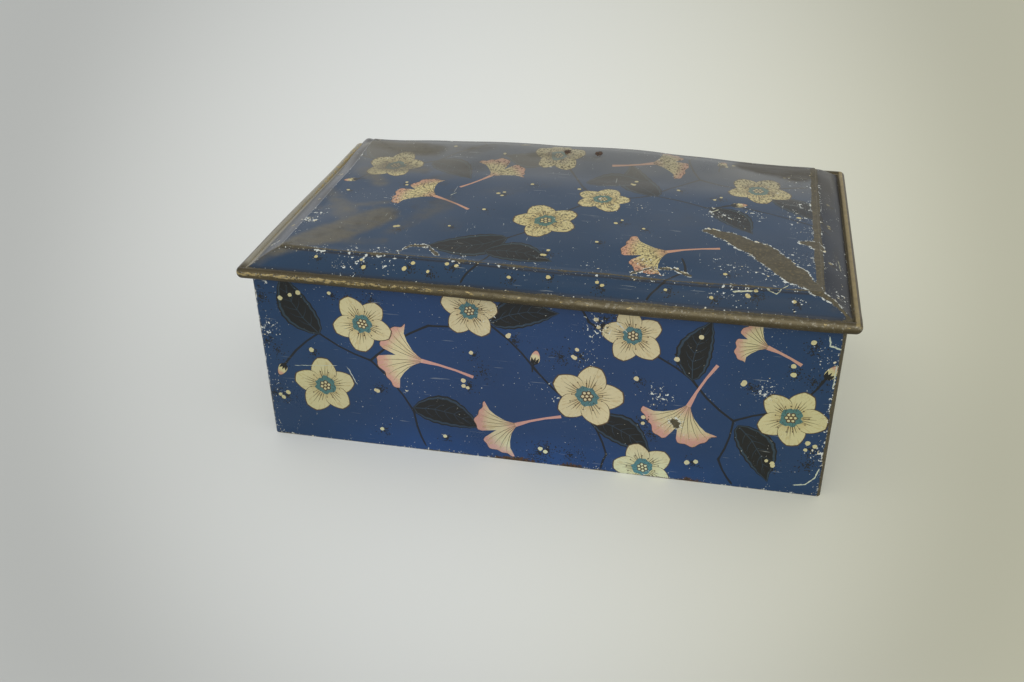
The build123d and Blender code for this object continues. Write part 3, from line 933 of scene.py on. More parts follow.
def lid_wear(shape):
    """Wear over the lid: the distance outside bare places and from worn edges, then the share of
    chips, rust and stain, and the share of painted shade."""
    def wear(x, y):
        inset = shape.inset(x, y)
        side = shape.roll_x - np.abs(x)
        front = shape.roll_y - np.abs(y)
        at_side = side < front
        bare = nearest_stroke(x, y, LID_BARE)
        bare = np.minimum(bare, 1.6 * nearest_stroke(x, y, LID_ARCS))
        to_right = at_side & (x > 0)
        # How far each edge is rubbed bare differs between the four sides.
        crease = np.abs(inset - shape.head - 0.1) - np.select(
            (to_right, at_side, y < 0), (1.35, -0.5, 0.32), -0.1)
        mitre = np.abs(side - front) * 0.7 + np.clip(inset - shape.frame, 0, None)
        mitre = mitre - np.where((x < 0) | (y > 0), 0.05, 0.5)
        foot = 2 * (inset - np.select((to_right, at_side), (2.0, 0.8), 2.3))
        edge = np.minimum(np.minimum(mitre, crease), foot)
        chips = near_spots(x, y, LID_CHIPPED, 1.3)
        rust = near_spots(x, y, LID_RUST, 1.5)
        # Painted shade lies against the step's foot, beside the roll and, thinner, in the mitres.
        grime = np.maximum(1 - np.abs(inset - 11.5) / 0.5, (3.6 - inset) / 1.6)
        in_mitre = np.clip(1 - np.abs(side - front) / 1.5, 0, 1)
        grime = np.maximum(np.clip(grime, 0, 1), 0.5 * in_mitre)
        grime = grime * np.select((to_right, at_side), (0.5, 0.1), 1)
        stain = np.zeros_like(x)
        for start, end, radius, end_radius, strength in LID_STAINS:
            far = to_stroke(x, y, start, end, radius, end_radius)
            stain = np.maximum(stain, strength * (1 - smooth(far, -4.5, 3.5)))
        return np.stack((bare, edge, chips, rust, stain, grime), -1)
    return wear


# The tables of the walls are grouped by wall. Places are x or y along the wall, and the height.
# Places with many small chips: place, height, radius
WALL_CHIPPED = (
    ("front", (24, 63, 9), (21, 50, 7), (46, 38, 8), (55, 26, 6), (-104, 50, 8), (-105, 24, 7),
     (104, 60, 8), (106, 20, 7), (-50, 30, 5), (8, 33, 5), (-18, 66, 6), (84, 44, 6)),
    ("left", (20, 58, 9), (-58, 30, 8), (56, 14, 9), (-12, 22, 6)),
    ("right", (-58, 50, 9), (10, 60, 8), (58, 24, 9), (-20, 18, 7)),
    ("back", (-70, 52, 11), (66, 60, 10), (20, 14, 9), (-100, 20, 8), (98, 40, 9)),
)
# Bare places: start, end and the radius at each
WALL_BARE = (
    ("front", ((52, 27), (54, 25.5), 0.9, 1.3), ((-104, 73), (-101, 68), 1.2, 0.6)),
    ("left", ((-36, 4), (-24, 3), 0.6, 1.4), ((48, 66), (53, 70), 0.8, 1.4)),
    ("right", ((36, 5), (46, 3), 0.8, 1.6), ((-52, 66), (-48, 61), 0.5, 1.2)),
    ("back", ((-84, 70), (-78, 68), 1.0, 1.6), ((46, 70), (54, 72), 0.8, 1.8),
     ((-24, 3), (-8, 2), 0.8, 1.6), ((94, 14), (98, 19), 0.6, 1.2)),
)
# Rust at the foot: place, height, half its length
WALL_RUST = (
    ("front", (-9, 0, 15), (14, 0, 9), (60, 0, 8)),
    ("left", (6, 0, 10)),
    ("right", (-26, 0, 12), (44, 0, 8)),
    ("back", (0, 0, 18), (-80, 0, 10)),
)


def wall_wear(shape):
    """Wear over the unrolled walls, as on the lid."""
    def unrolled(table):
        return [(shape.along(wall, place), *rest) for wall, *rows in table for place, *rest in rows]

    def wear(along, up):
        strokes = []
        for wall, *rows in WALL_BARE:
            for start, end, radius, end_radius in rows:
                ends = [(shape.along(wall, place), height) for place, height in (start, end)]
                strokes.append((*ends, radius, end_radius))
        bare = nearest_stroke(along, up, strokes)
        corner_edge = np.minimum(along, shape.stops[-1] - along)
        for number, width in ((1, 0.6), (3, -0.1), (5, 0.8), (7, 0.5)):
            middle = (shape.stops[number] + shape.stops[number + 1]) / 2
            corner_edge = np.minimum(corner_edge, np.abs(along - middle) - width)
        edge = np.minimum(np.minimum(up - 0.1, shape.height - up + 0.6), corner_edge)
        chips = near_spots(along, up, unrolled(WALL_CHIPPED), 1.2)
        chips = np.maximum(chips, np.clip(1 - corner_edge / 5, 0, 1) * 0.8)
        chips = np.maximum(chips, np.clip(1 - up / 3, 0, 1) * 0.7)
        rust = near_spots(along, up, unrolled(WALL_RUST), 1.2, height=3.4)
        # Painted shade under the lid's roll: darker within 3 mm of the walls' top.
        grime = 0.6 * np.clip(1 - (shape.height - up) / 3, 0, 1)
        return np.stack((bare, edge, chips, rust, np.zeros_like(along), grime), -1)
    return wear


def printed_tin(name, colours, glare_over=None):
    """Glossy lithographed tin. It reads the mesh's ink, motif, wear, stain and painted shade. Given a
    height for the lid, the varnish has yellowed, and above that height, in millimetres, a greyish painted
    glare covers it, like a dull film."""
    tin = Finish(name, Specular_IOR_Level=0.5 if glare_over is None else 0.34)
    ink, motif, worn, stain, grime = (
        tin.node("ShaderNodeAttribute", attribute_name=name).outputs
        for name in ("ink", "motif", "wear", "stain", "grime"))
    bare_far, edge_far, chips = tin.split(worn["Color"])
    x, y, z = tin.split(tin.place)
    rust, stain, grime = Field(tin, worn["Alpha"]), Field(tin, stain["Fac"]), Field(tin, grime["Fac"])
    local_u, local_v, kind = tin.split(motif["Vector"])

    # The inks
    reach = (local_u * local_u + local_v * local_v).power(0.5)
    petal = kind.math("COMPARE", PETAL, 0.3)
    fan = kind.math("COMPARE", FAN, 0.3)
    streaks = tin.noise(0.9, detail=2, roughness=0.6)
    warm = tuple(c * s for c, s in zip(colours.cream, (0.72, 0.58, 0.38)))
    tin.base = ink["Color"]
    tin.coat(petal * (reach + streaks * 0.25).fall(0.3, 0.75) * 0.6, warm)
    blush = (reach + streaks * 0.22 - 0.1).rise(0.62, 0.92).most(reach.fall(0.12, 0.42) * 0.8)
    tin.coat(fan * blush, colours.pink)
    spread = tin.node("ShaderNodeCombineXYZ", {
        0: local_v / (local_u.most(0.05)) * 16.0, 1: reach * 2.2, 2: tin.noise(6) * 5.0}).outputs[0]
    lines = tin.noise(1.0, detail=2, place=spread)
    tin.coat(lines.rise(0.54, 0.66) * petal.most(fan) * 0.42, warm)
    cloud = tin.noise(34, detail=3, roughness=0.5)
    grain = tin.noise(0.28, detail=2, roughness=0.6)
    tone = cloud * 0.36 + grain * 0.2 + (0.585 if glare_over is None else 0.67)
    tin.coat(1.0, tin.grey(tone), "MULTIPLY")

    # Painted light and shade, varnish and stains
    patchy = tin.noise(12, detail=3).rise(0.42, 0.66)
    if glare_over is None:
        ends = abs(x).rise(35.0, 106.0)
        tin.coat(ends, (0.92, 0.98, 0.84), "MULTIPLY")
        # Painted bounce light from the floor: the ink is brighter and bluer near the foot of the front and
        # back walls, most in their middle.
        painted_bounce = z.fall(1.0, 17.0) * abs(x).fall(50.0, 95.0)
        tin.coat(painted_bounce * (cloud + 0.3), (1.1, 1.36, 1.5), "MULTIPLY")
    else:
        tin.coat(1.0, colours.varnish, "MULTIPLY")
        # Painted glare over the back ridge, greyish like a dull film.
        back_glare = y.rise(6.0, 44.0) * (cloud * 0.7 + 0.3) * z.rise(glare_over - 5, glare_over - 2)
        tin.coat(back_glare * 0.86 + grain * 0.05, colours.glare_grey)
        # Painted shade: the side bands are darkened with the tarnish colour, in clouds.
        beside = (abs(x) - abs(y)).rise(43.6, 44.2)
        aside = abs(x).rise(98.0, 101.0) * beside
        tin.coat(aside * (cloud * 0.5 + 0.4), colours.tarnish_and_shade)
        # Painted glare: the foot of the left band is paler.
        tin.coat(x.fall(-108.8, -106.0) * beside * 0.9, colours.plain)
        ahead = y.fall(-60.0, -56.0) * x.rise(0.0, 90.0) * cloud * 0.25
        tin.coat(ahead, colours.stain)
        peppered = (streaks + cloud * 0.1).rise(0.56, 0.66) * petal.most(fan) * 0.75
        tin.coat(peppered, colours.tarnish_and_shade)
        stain_edge = (tin.noise(9, detail=5, roughness=0.62) - 0.5) * 1.5
        wiped = tin.noise(2.2, detail=3, place=tin.stretched((0.16, 1, 1), (0, 0, 0.75)))
        stain_at = (stain + stain * stain_edge).rise(0.1, 0.8) * (wiped * 0.9 + 0.42).least(0.9)
        brown = tin.mix(tin.noise(2.6, detail=4).rise(0.4, 0.7) * 0.35, colours.stain, colours.tarnish_and_shade)
        brown = tin.mix(grain.rise(0.45, 0.7) * 0.25, brown, colours.glare_grey)
        brown = tin.mix(x.fall(-90.0, -50.0) * 0.25, brown, colours.glare_grey)
        brown = tin.mix(y.rise(20.0, 46.0) * x.rise(20.0, 60.0) * 0.55, brown, colours.tarnish_and_shade)
        tin.coat(stain_at, brown)
        dull = (aside * -0.23 - stain_at * 0.14).most(-0.26)
        tin.feed("Specular IOR Level", dull + 0.34)

    # Where the print has gone
    wander = tin.noise(5.5, detail=4, roughness=0.55) - 0.5
    frayed = tin.noise(0.7, detail=3, roughness=0.65) - 0.5
    bare_at = bare_far + wander * 4.2 + frayed * 1.6
    edge_at = edge_far - patchy * 0.4 + wander * 0.8 + frayed * 0.9
    bare = bare_at.fall(-0.12, 0.12).most(edge_at.fall(-0.05, 0.2))
    fringe = bare_at.rise(-0.3, 0.0) * bare_at.fall(0.25, 1.7) * 0.9
    fringe = fringe.most(edge_at.rise(-0.3, 0.1) * edge_at.fall(0.3, 1.4) * chips.most(0.45))
    crowd = fringe.most(chips * 0.66) + (patchy - 0.5) * 0.2
    flakes = tin.noise(1.7, detail=2, roughness=0.6) + crowd * 0.25
    specks = tin.noise(0.6, detail=0.5) + crowd * 0.18
    chip = flakes.rise(0.755, 0.775).most(specks.rise(0.81, 0.835))
    pits = (tin.noise(0.5, detail=2, roughness=0.7) + crowd * 0.2).rise(0.71, 0.735)
    hair = tin.noise(0.5, detail=1, place=tin.stretched((0.035, 1, 1), (0.2, 0.5, 0.7)))
    cross = tin.noise(0.5, detail=1, place=tin.stretched((1, 0.03, 1), (0.3, 0.2, -0.4)))
    scratch = (hair.rise(0.735, 0.76)).most(cross.rise(0.745, 0.77)) * patchy

    # Rubbed tin under it
    mottle = tin.noise(3.2, detail=4, roughness=0.6)
    metal = tin.mix(mottle.rise(0.3, 0.7) * 0.35, colours.worn, colours.tarnish_and_shade)
    metal = tin.mix(tin.noise(0.9, detail=2).rise(0.5, 0.72) * 0.18, metal, colours.brass)
    pale = tin.mix(tin.noise(2.4, detail=1).rise(0.56, 0.7), colours.chip, colours.cream)

    tin.coat(pits * 0.8, colours.leaf)
    # Painted shade in the creases and under the lid's roll.
    painted_shade_coat = (grime * (streaks * 0.8 + 0.6)).least(1.0) * 0.7
    tin.coat(painted_shade_coat, colours.tarnish_and_shade)
    tin.coat(scratch * 0.35, colours.chip)
    tin.coat(bare, metal)
    lip = bare_at.rise(-0.1, 0.05) * bare_at.fall(0.25, 0.6) * tin.noise(1.5, detail=2).rise(0.48, 0.6)
    flake = (chip * bare.less()).most(lip * 0.9)
    tin.coat(flake, pale)
    rusted = (rust + (tin.noise(1.1, detail=4, roughness=0.7) - 0.5) * 1.6).rise(0.55, 0.75)
    rust_colour = tin.mix(tin.noise(0.8, detail=3).rise(0.35, 0.65), colours.rust, colours.tarnish_and_shade)
    tin.coat(rusted, rust_colour)

    rough = cloud * 0.14 + grain * 0.08 + 0.20 + bare * 0.12 + flake * 0.2 + rusted * 0.3
    worn_height = grain * 0.12 - bare * 0.5 + flake * 0.35 + rusted * 0.5 - pits * 0.3
    tin.bump(worn_height, 0.03)
    return tin.close(rough, bare * 0.3 * rusted.less() * flake.less())


# Layout of the lid's print. Twigs and scrapes have their points, and a scrape its width.
LID_TWIGS = (
    ((-92, 12), (-80, 30), (-62, 34), (-44, 47), (-36, 52)),
    ((-30, -52), (-16, -36), (-4, -22), (14, 2), (34, 12), (52, 32), (76, 26), (96, 34)),
    ((14, 2), (2, 22), (-10, 40), (-14, 52)), ((-44, 47), (-48, 60)), ((34, 12), (56, 4), (66, 8)),
    ((-16, -36), (-24, -58), (-27, -64)), ((52, 32), (46, 47), (50, 62)),
    ((-80, 30), (-104, 40)), ((40, -64), (52, -48), (50, -40)), ((66, 8), (104, -6)),
)
# Leaves, fans, blossoms and buds: x, y, size and turn
LID_LEAVES = (
    (-78, 34, 27, 140), (-64, 33, 25, -38), (-16, -36, 29, 200), (-22, -46, 24, -8),
    (36, 12, 28, 118), (58, 4, 24, -50), (6, 20, 24, 14), (82, 20, 25, -42), (-12, 38, 20, 178),
)
LID_FANS = ((-52, -4, 20, 152), (-36, 20, 17, 62), (46, -36, 19, 205), (30, 40, 17, 20))
LID_BLOSSOMS = (
    (-80, 28, 13.5, 10), (-4, -20, 14, 40), (15, 3, 12, 5), (76, 26, 13.5, 60), (-10, 41, 11.5, 20),
)
LID_BUDS = ((66, 8, 6, 20), (-30, 50, 5.5, 10), (-92, 12, 5.5, 200), (60, 44, 6, 80))
# x, y and the number of dots together
LID_DOTS = (
    (-60, -34, 2), (-30, -14, 1), (-26, 2, 3), (24, -16, 2), (34, -20, 1), (60, 14, 2), (92, 4, 1),
    (-70, 8, 2), (4, 12, 1), (26, 24, 3), (64, 46, 2), (-58, 46, 1), (-40, -30, 1), (0, -44, 3),
    (66, -48, 1), (18, -34, 1), (44, 20, 1), (88, 40, 2), (-92, 0, 1), (-16, 14, 1), (-34, 40, 1),
    (-84, -58.5, 1), (-66, -60, 2), (-48, -59, 3), (-40, -61, 1), (-32, -57.5, 2), (-10, -60, 1),
    (4, -58, 1), (22, -60.5, 2), (46, -59, 1), (62, -61, 1), (76, -58, 3), (90, -60, 1),
    (103, -30, 1), (102, 2, 2), (104, 24, 1), (-103, -34, 1), (-102, -8, 1), (-104, 20, 2),
    (-60, 60, 1), (-20, 59, 2), (20, 61, 1), (70, 59, 2),
)
LID_SCRAPES = (
    ((58, 0), (61, 3.4), 0.7), ((-47, -2), (-45, 1), 0.4), ((88, -52), (84, -57), (80, -55), 0.5),
    ((106, -24), (106.6, -32), 0.5), ((97, 42), (90, 43), 0.4), ((76, -56.5), (69, -57.5), 0.8),
)
LID_PRINT = (
    ("twig", LID_TWIGS), ("leaf", LID_LEAVES), ("fan", LID_FANS), ("bud", LID_BUDS),
    ("blossom", LID_BLOSSOMS), ("dots", LID_DOTS), ("scrape", LID_SCRAPES),
)

# Layout of the walls' print, grouped by wall, with a place along the wall and a height
WALL_TWIGS = (
    ("front", ((-100, 34), (-84, 50), (-64, 40), (-48, 18), (-44, 2)),
     ((-64, 40), (-40, 58), (-18, 62), (-8, 74)), ((-18, 62), (0, 44), (20, 26)),
     ((20, 26), (28, 8), (26, 1)), ((36, 58), (20, 66), (14, 75)),
     ((36, 58), (58, 46), (74, 30), (92, 36), (104, 52)), ((74, 30), (70, 12), (76, 1))),
    ("left", ((60, 60), (36, 50), (10, 54), (-14, 40), (-40, 30), (-62, 36)),
     ((10, 54), (6, 30), (22, 12), (20, 1)), ((-14, 40), (-22, 62), (-18, 75))),
    ("right", ((-60, 22), (-34, 32), (-8, 28), (16, 42), (40, 40), (62, 52)),
     ((-8, 28), (-14, 10), (-8, 1)), ((16, 42), (12, 62), (18, 75))),
    ("back", ((-104, 30), (-80, 38), (-56, 30), (-30, 40), (-8, 36)), ((-56, 30), (-60, 10), (-54, 1)),
     ((100, 46), (74, 38), (48, 46), (20, 34), (6, 40)), ((48, 46), (52, 64), (46, 75)),
     ((-30, 40), (-26, 60), (-34, 75))),
)
WALL_LEAVES = (
    ("front", (-84, 50, 26, 118), (-48, 20, 26, -12), (-16, 62, 24, 14), (22, 24, 25, -30),
     (58, 46, 24, 78), (76, 28, 25, -62)),
    ("left", (36, 50, 25, 70), (8, 30, 24, -150), (-38, 30, 24, 30)),
    ("right", (-34, 32, 25, -65), (16, 42, 24, 150), (40, 40, 24, -35)),
    ("back", (-80, 38, 25, 60), (-30, 40, 24, -50), (74, 38, 25, -115), (22, 34, 24, -70)),
)
WALL_FANS = (
    ("front", (-42, 42, 20, 172), (58, 36, 20, 250), (-6, 18, 18, 205), (84, 62, 13, 160)),
    ("left", (-4, 20, 19, 300), (30, 62, 14, 100)),
    ("right", (40, 18, 18, 60), (-20, 56, 17, 130)),
    ("back", (-60, 58, 17, 150), (46, 18, 19, 210), (-100, 60, 13, 80)),
)
WALL_BLOSSOMS = (
    ("front", (-84, 26, 13.5, 20), (-66, 56, 12.5, 50), (20, 34, 14, 8), (36, 62, 12, 30),
     (94, 34, 13, 64), (-24, 66, 11.5, 15), (42, 4, 12.5, 40)),
    ("left", (44, 26, 13.5, 10), (-20, 56, 13, 45), (-50, 20, 12.5, 70)),
    ("right", (-46, 40, 13.5, 30), (8, 22, 13, 5), (50, 54, 13, 55)),
    ("back", (-86, 22, 13, 25), (-20, 24, 13.5, 60), (76, 54, 13.5, 15), (20, 56, 12.5, 40),
     (96, 18, 12, 5)),
)
WALL_BUDS = (
    ("front", (104, 52, 6, 60), (-100, 34, 5.5, 240), (0, 46, 5.5, 80)),
    ("left", (22, 12, 5.5, 220)),
    ("right", (-14, 10, 5.5, 140)),
    ("back", (-60, 10, 5.5, 80), (52, 64, 5.5, 120)),
)
WALL_DOTS = (
    ("front", (-98, 64, 1), (-92, 66, 2), (-88, 42, 1), (-102, 20, 3), (-62, 8, 1), (-62, 28, 2),
     (-24, 48, 1), (-26, 34, 3), (-8, 56, 2), (4, 8, 2), (16, 52, 3), (24, 66, 2), (38, 44, 1),
     (40, 26, 2), (60, 64, 1), (60, 10, 2), (88, 12, 3), (102, 22, 3), (78, 46, 2), (-36, 8, 1),
     (52, 54, 1), (98, 66, 1), (-78, 68, 1), (92, 54, 2)),
    ("left", (52, 44, 2), (20, 38, 3), (-4, 66, 1), (-42, 46, 2), (-56, 60, 1), (-30, 8, 2), (56, 8, 1),
     (12, 8, 1)),
    ("right", (-54, 62, 2), (-30, 14, 1), (-4, 46, 3), (28, 30, 1), (30, 66, 2), (58, 34, 1), (24, 8, 2),
     (-54, 10, 1)),
    ("back", (-100, 46, 2), (-70, 44, 1), (-44, 14, 3), (-44, 66, 1), (-6, 60, 2), (6, 14, 1),
     (34, 36, 2), (64, 22, 1), (94, 66, 3), (60, 66, 1), (-14, 46, 1), (84, 36, 1)),
)
# Place, height, radius and the number of fine dots. More of the front's are inked last.
WALL_STIPPLE = (
    ("front", (26, 68, 8, 90), (-102, 40, 7, 70), (52, 28, 6, 60), (-72, 66, 5, 40), (14, 6, 8, 90),
     (98, 62, 6, 40)),
    ("left", (30, 18, 7, 60)),
    ("right", (-30, 60, 7, 60)),
    ("back", (-70, 60, 8, 70), (70, 14, 8, 70)),
    ("front", (10, 50, 6, 110), (32, 70, 7, 150), (-106, 64, 6, 120), (-106, 44, 5, 90),
     (-106, 20, 6, 90), (2, 5, 9, 200), (44, 20, 5, 70), (100, 50, 6, 90), (102, 14, 6, 90),
     (-62, 66, 6, 90), (-20, 40, 6, 60)),
)
WALL_SCRAPES = (
    ("front", ((103, 69), (103.6, 65.4), (107.6, 64.2), 0.8),
     ((98, 4), (102.5, 5), (105.5, 8.5), (106.6, 13), 0.5), ((106.6, 48), (106.8, 58), 0.5),
     ((-74, 36), (-70.5, 28), 0.35), ((-96, 34), (-78, 36), 0.2), ((30, 67), (34, 63), 0.6)),
    ("left", ((60, 20), (50, 34), 0.4)),
    ("right", ((-40, 50), (-20, 54), 0.3)),
    ("back", ((-60, 60), (-30, 68), 0.4), ((40, 20), (70, 26), 0.3)),
)
WALL_PRINT = (
    ("twig", WALL_TWIGS), ("stipple", WALL_STIPPLE), ("leaf", WALL_LEAVES), ("fan", WALL_FANS),
    ("bud", WALL_BUDS), ("blossom", WALL_BLOSSOMS), ("dots", WALL_DOTS), ("scrape", WALL_SCRAPES),
)


def split(line, spacing):
    """A line of points with more of them, about the spacing apart."""
    parts = []
    for start, end in zip(line, line[1:]):
        count = max(1, round(abs(end - start) / spacing))
        parts += [start + (end - start) * step / count for step in range(count)]
    return parts + [line[-1]]


def lid_cuts(shape):
    """The lid sheet's outline, the lines along its bends and spots where it has to follow its
    bulges, its dimples and its wear."""
    corners = ((-1, -1, 180), (1, -1, 270), (1, 1, 0), (-1, 1, 90))
    rings = shape.rings()
    outermost = rings[0]
    spacing = 3

    # At each corner the outline sticks out, so that the rounded bends end inside it.
    flap = 0.7
    outline = []
    for sx, sy, _ in corners:
        turns = ((0, -flap - 1), (flap, flap), (-flap - 1, 0))
        for out_x, out_y in turns if sx * sy > 0 else turns[::-1]:
            outline.append(complex(
                sx * (shape.roll_x - outermost + out_x), sy * (shape.roll_y - outermost + out_y)))
    outline = split(outline + outline[:1], spacing)[:-1]

    lines = []
    for inset in rings[1:]:
        rounded = inset < shape.pivot - NEXT_TO
        turns = (0, 22.5, 45, 67.5, 90) if rounded else (0,)
        middle = shape.pivot if rounded else inset
        loop = []
        for sx, sy, start in corners:
            corner = complex(sx * (shape.roll_x - middle), sy * (shape.roll_y - middle))
            loop += [corner + (middle - inset) * direction(start + turn) for turn in turns]
        lines.append(split(loop + loop[:1], spacing))
    soft = shape.mitre_softness / 2
    for sx in (-1, 1):
        for sy in (-1, 1):
            for aside in (-soft, -soft / 2, 0, soft / 2, soft):
                start = complex(shape.roll_x - shape.pivot + min(aside, 0),
                                shape.roll_y - shape.pivot - max(aside, 0))
                reach = shape.frame + 0.6 - shape.pivot - abs(aside)
                mitre = split([start, start - complex(reach, reach)], spacing / 2)
                lines.append([complex(point.real * sx, point.imag * sy) for point in mitre])

    grid = 2.97
    spots = [complex(column * grid + 0.7 * (row % 2), row * grid)
             for column in range(-32, 33) for row in range(-17, 18)]
    for x, y, _ in LID_RUST:
        for reach in (0.7, 1.4, 2.1, 2.9, 3.8):
            spots += [complex(x, y) + reach * direction(turn + 40 * reach) for turn in range(0, 360, 30)]
    return outline, lines, spots + around_strokes(LID_BARE + LID_ARCS)


class TINBOX_OT_lid_sheet(bpy.types.Operator):
    """Makes the printed lid: crowned panel, step and mitred band, with its plain underside"""

    bl_idname = "tin_box.lid_sheet"
    bl_label = "Lid Sheet"

    def execute(self, context):
        sizes, colours = context.scene.tin_box_sizes, context.scene.tin_box_colours
        shape = LidShape(sizes)
        outline, lines, spots = lid_cuts(shape)
        ink = Print(colours, seed=11, dot_radius=0.8)
        layout = [(kind, (("lid", *rows),)) for kind, rows in LID_PRINT]
        ink.lay_out(layout, lambda surface, x, y: complex(x, y))

        mesh = SheetMesh()
        cut = cut_sheet(outline, lines, ink.shapes, spots)
        mesh.add(cut, shape.place, ink.shapes, tuple(colours.ground), lid_wear(shape))
        under = cut_sheet(outline, lines, [], spots)
        mesh.add(under, shape.place, slot=1, inner=sizes.sheet / MM)
        inside = tarnished_metal("inside_of_lid", colours)
        printed = printed_tin("printed_lid", colours, shape.roll_z + shape.top)
        piece = mesh.make("lid_sheet", [printed, inside])
        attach(piece, "lid")
        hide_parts("lid_shell")
        return {"FINISHED"}


def rolled_edge_tree():
    """A node tree that rolls a strip of sheet round a path, with a thickness and small dents."""
    tree = bpy.data.node_groups.new("Rolled edge", "GeometryNodeTree")
    tree.interface.new_socket("Path", in_out="INPUT", socket_type="NodeSocketGeometry")
    for name, kind in (
            ("Roll Radius", "Float"), ("Sheet", "Float"), ("First Angle", "Float"),
            ("Sweep", "Float"), ("Points Round", "Int"), ("Dent Depth", "Float"),
            ("Dent Size", "Float"), ("Seed", "Float"), ("Finish", "Material")):
        tree.interface.new_socket(name, in_out="INPUT", socket_type="NodeSocket" + kind)
    tree.interface.new_socket("Edge", in_out="OUTPUT", socket_type="NodeSocketGeometry")
    given = tree.nodes.new("NodeGroupInput").outputs

    def node(kind, inputs, **settings):
        return add_node(tree, kind, inputs, **settings).outputs[0]

    path = node("GeometryNodeMeshToCurve", {"Mesh": given["Path"]})
    path = node("GeometryNodeSetCurveNormal", {"Curve": path}, mode="Z_UP")
    section = node("GeometryNodeCurveArc", {
        "Resolution": given["Points Round"], "Radius": given["Roll Radius"],
        "Start Angle": given["First Angle"], "Sweep Angle": given["Sweep"]}, mode="RADIUS")
    skin = node("GeometryNodeCurveToMesh", {"Curve": path, "Profile Curve": section})
    scale = node("ShaderNodeMath", {0: 1.0, 1: given["Dent Size"]}, operation="DIVIDE")
    lumps = node("ShaderNodeTexNoise", {
        "Vector": node("GeometryNodeInputPosition", {}), "Scale": scale, "W": given["Seed"],
        "Detail": 2.0}, noise_dimensions="4D")
    pushed = node("ShaderNodeMath", {0: lumps, 1: 0.5}, operation="SUBTRACT")
    pushed = node("ShaderNodeMath", {0: pushed, 1: given["Dent Depth"]}, operation="MULTIPLY")
    offset = node("ShaderNodeVectorMath", {0: node("GeometryNodeInputNormal", {}), "Scale": pushed},
                  operation="SCALE")
    skin = node("GeometryNodeSetPosition", {"Geometry": skin, "Offset": offset})
    inwards = node("ShaderNodeMath", {0: given["Sheet"], 1: -1.0}, operation="MULTIPLY")
    lining = node("GeometryNodeExtrudeMesh", {
        "Mesh": skin, "Offset Scale": inwards, "Individual": False}, mode="FACES")
    lining = node("GeometryNodeFlipFaces", {"Mesh": lining})
    both = tree.nodes.new("GeometryNodeJoinGeometry")
    tree.links.new(skin, both.inputs[0])
    tree.links.new(lining, both.inputs[0])
    joined = {"Geometry": both.outputs[0], "Distance": 0.001 * MM}
    solid = node("GeometryNodeMergeByDistance", joined)
    solid = node("GeometryNodeRealizeInstances", {"Geometry": solid})
    solid = node("GeometryNodeSetMaterial", {"Geometry": solid, "Material": given["Finish"]})
    tree.links.new(solid, tree.nodes.new("NodeGroupOutput").inputs[0])
    return tree


def swept_piece(tree, path, values):
    """Runs the node tree on a path and gives the mesh that it makes."""
    wire = bpy.data.meshes.new("path")
    wire.from_pydata(path, [(n, n + 1) for n in range(len(path) - 1)], [])
    holder = add_object("path", wire)
    modifier = holder.modifiers.new("Rolled edge", "NODES")
    modifier.node_group = tree
    for socket in tree.interface.items_tree:
        if socket.in_out == "INPUT" and socket.name in values:
            modifier[socket.identifier] = values[socket.name]
    graph = bpy.context.evaluated_depsgraph_get()
    mesh = bpy.data.meshes.new_from_object(holder.evaluated_get(graph))
    bpy.data.objects.remove(holder)
    bpy.data.meshes.remove(wire)
    return mesh


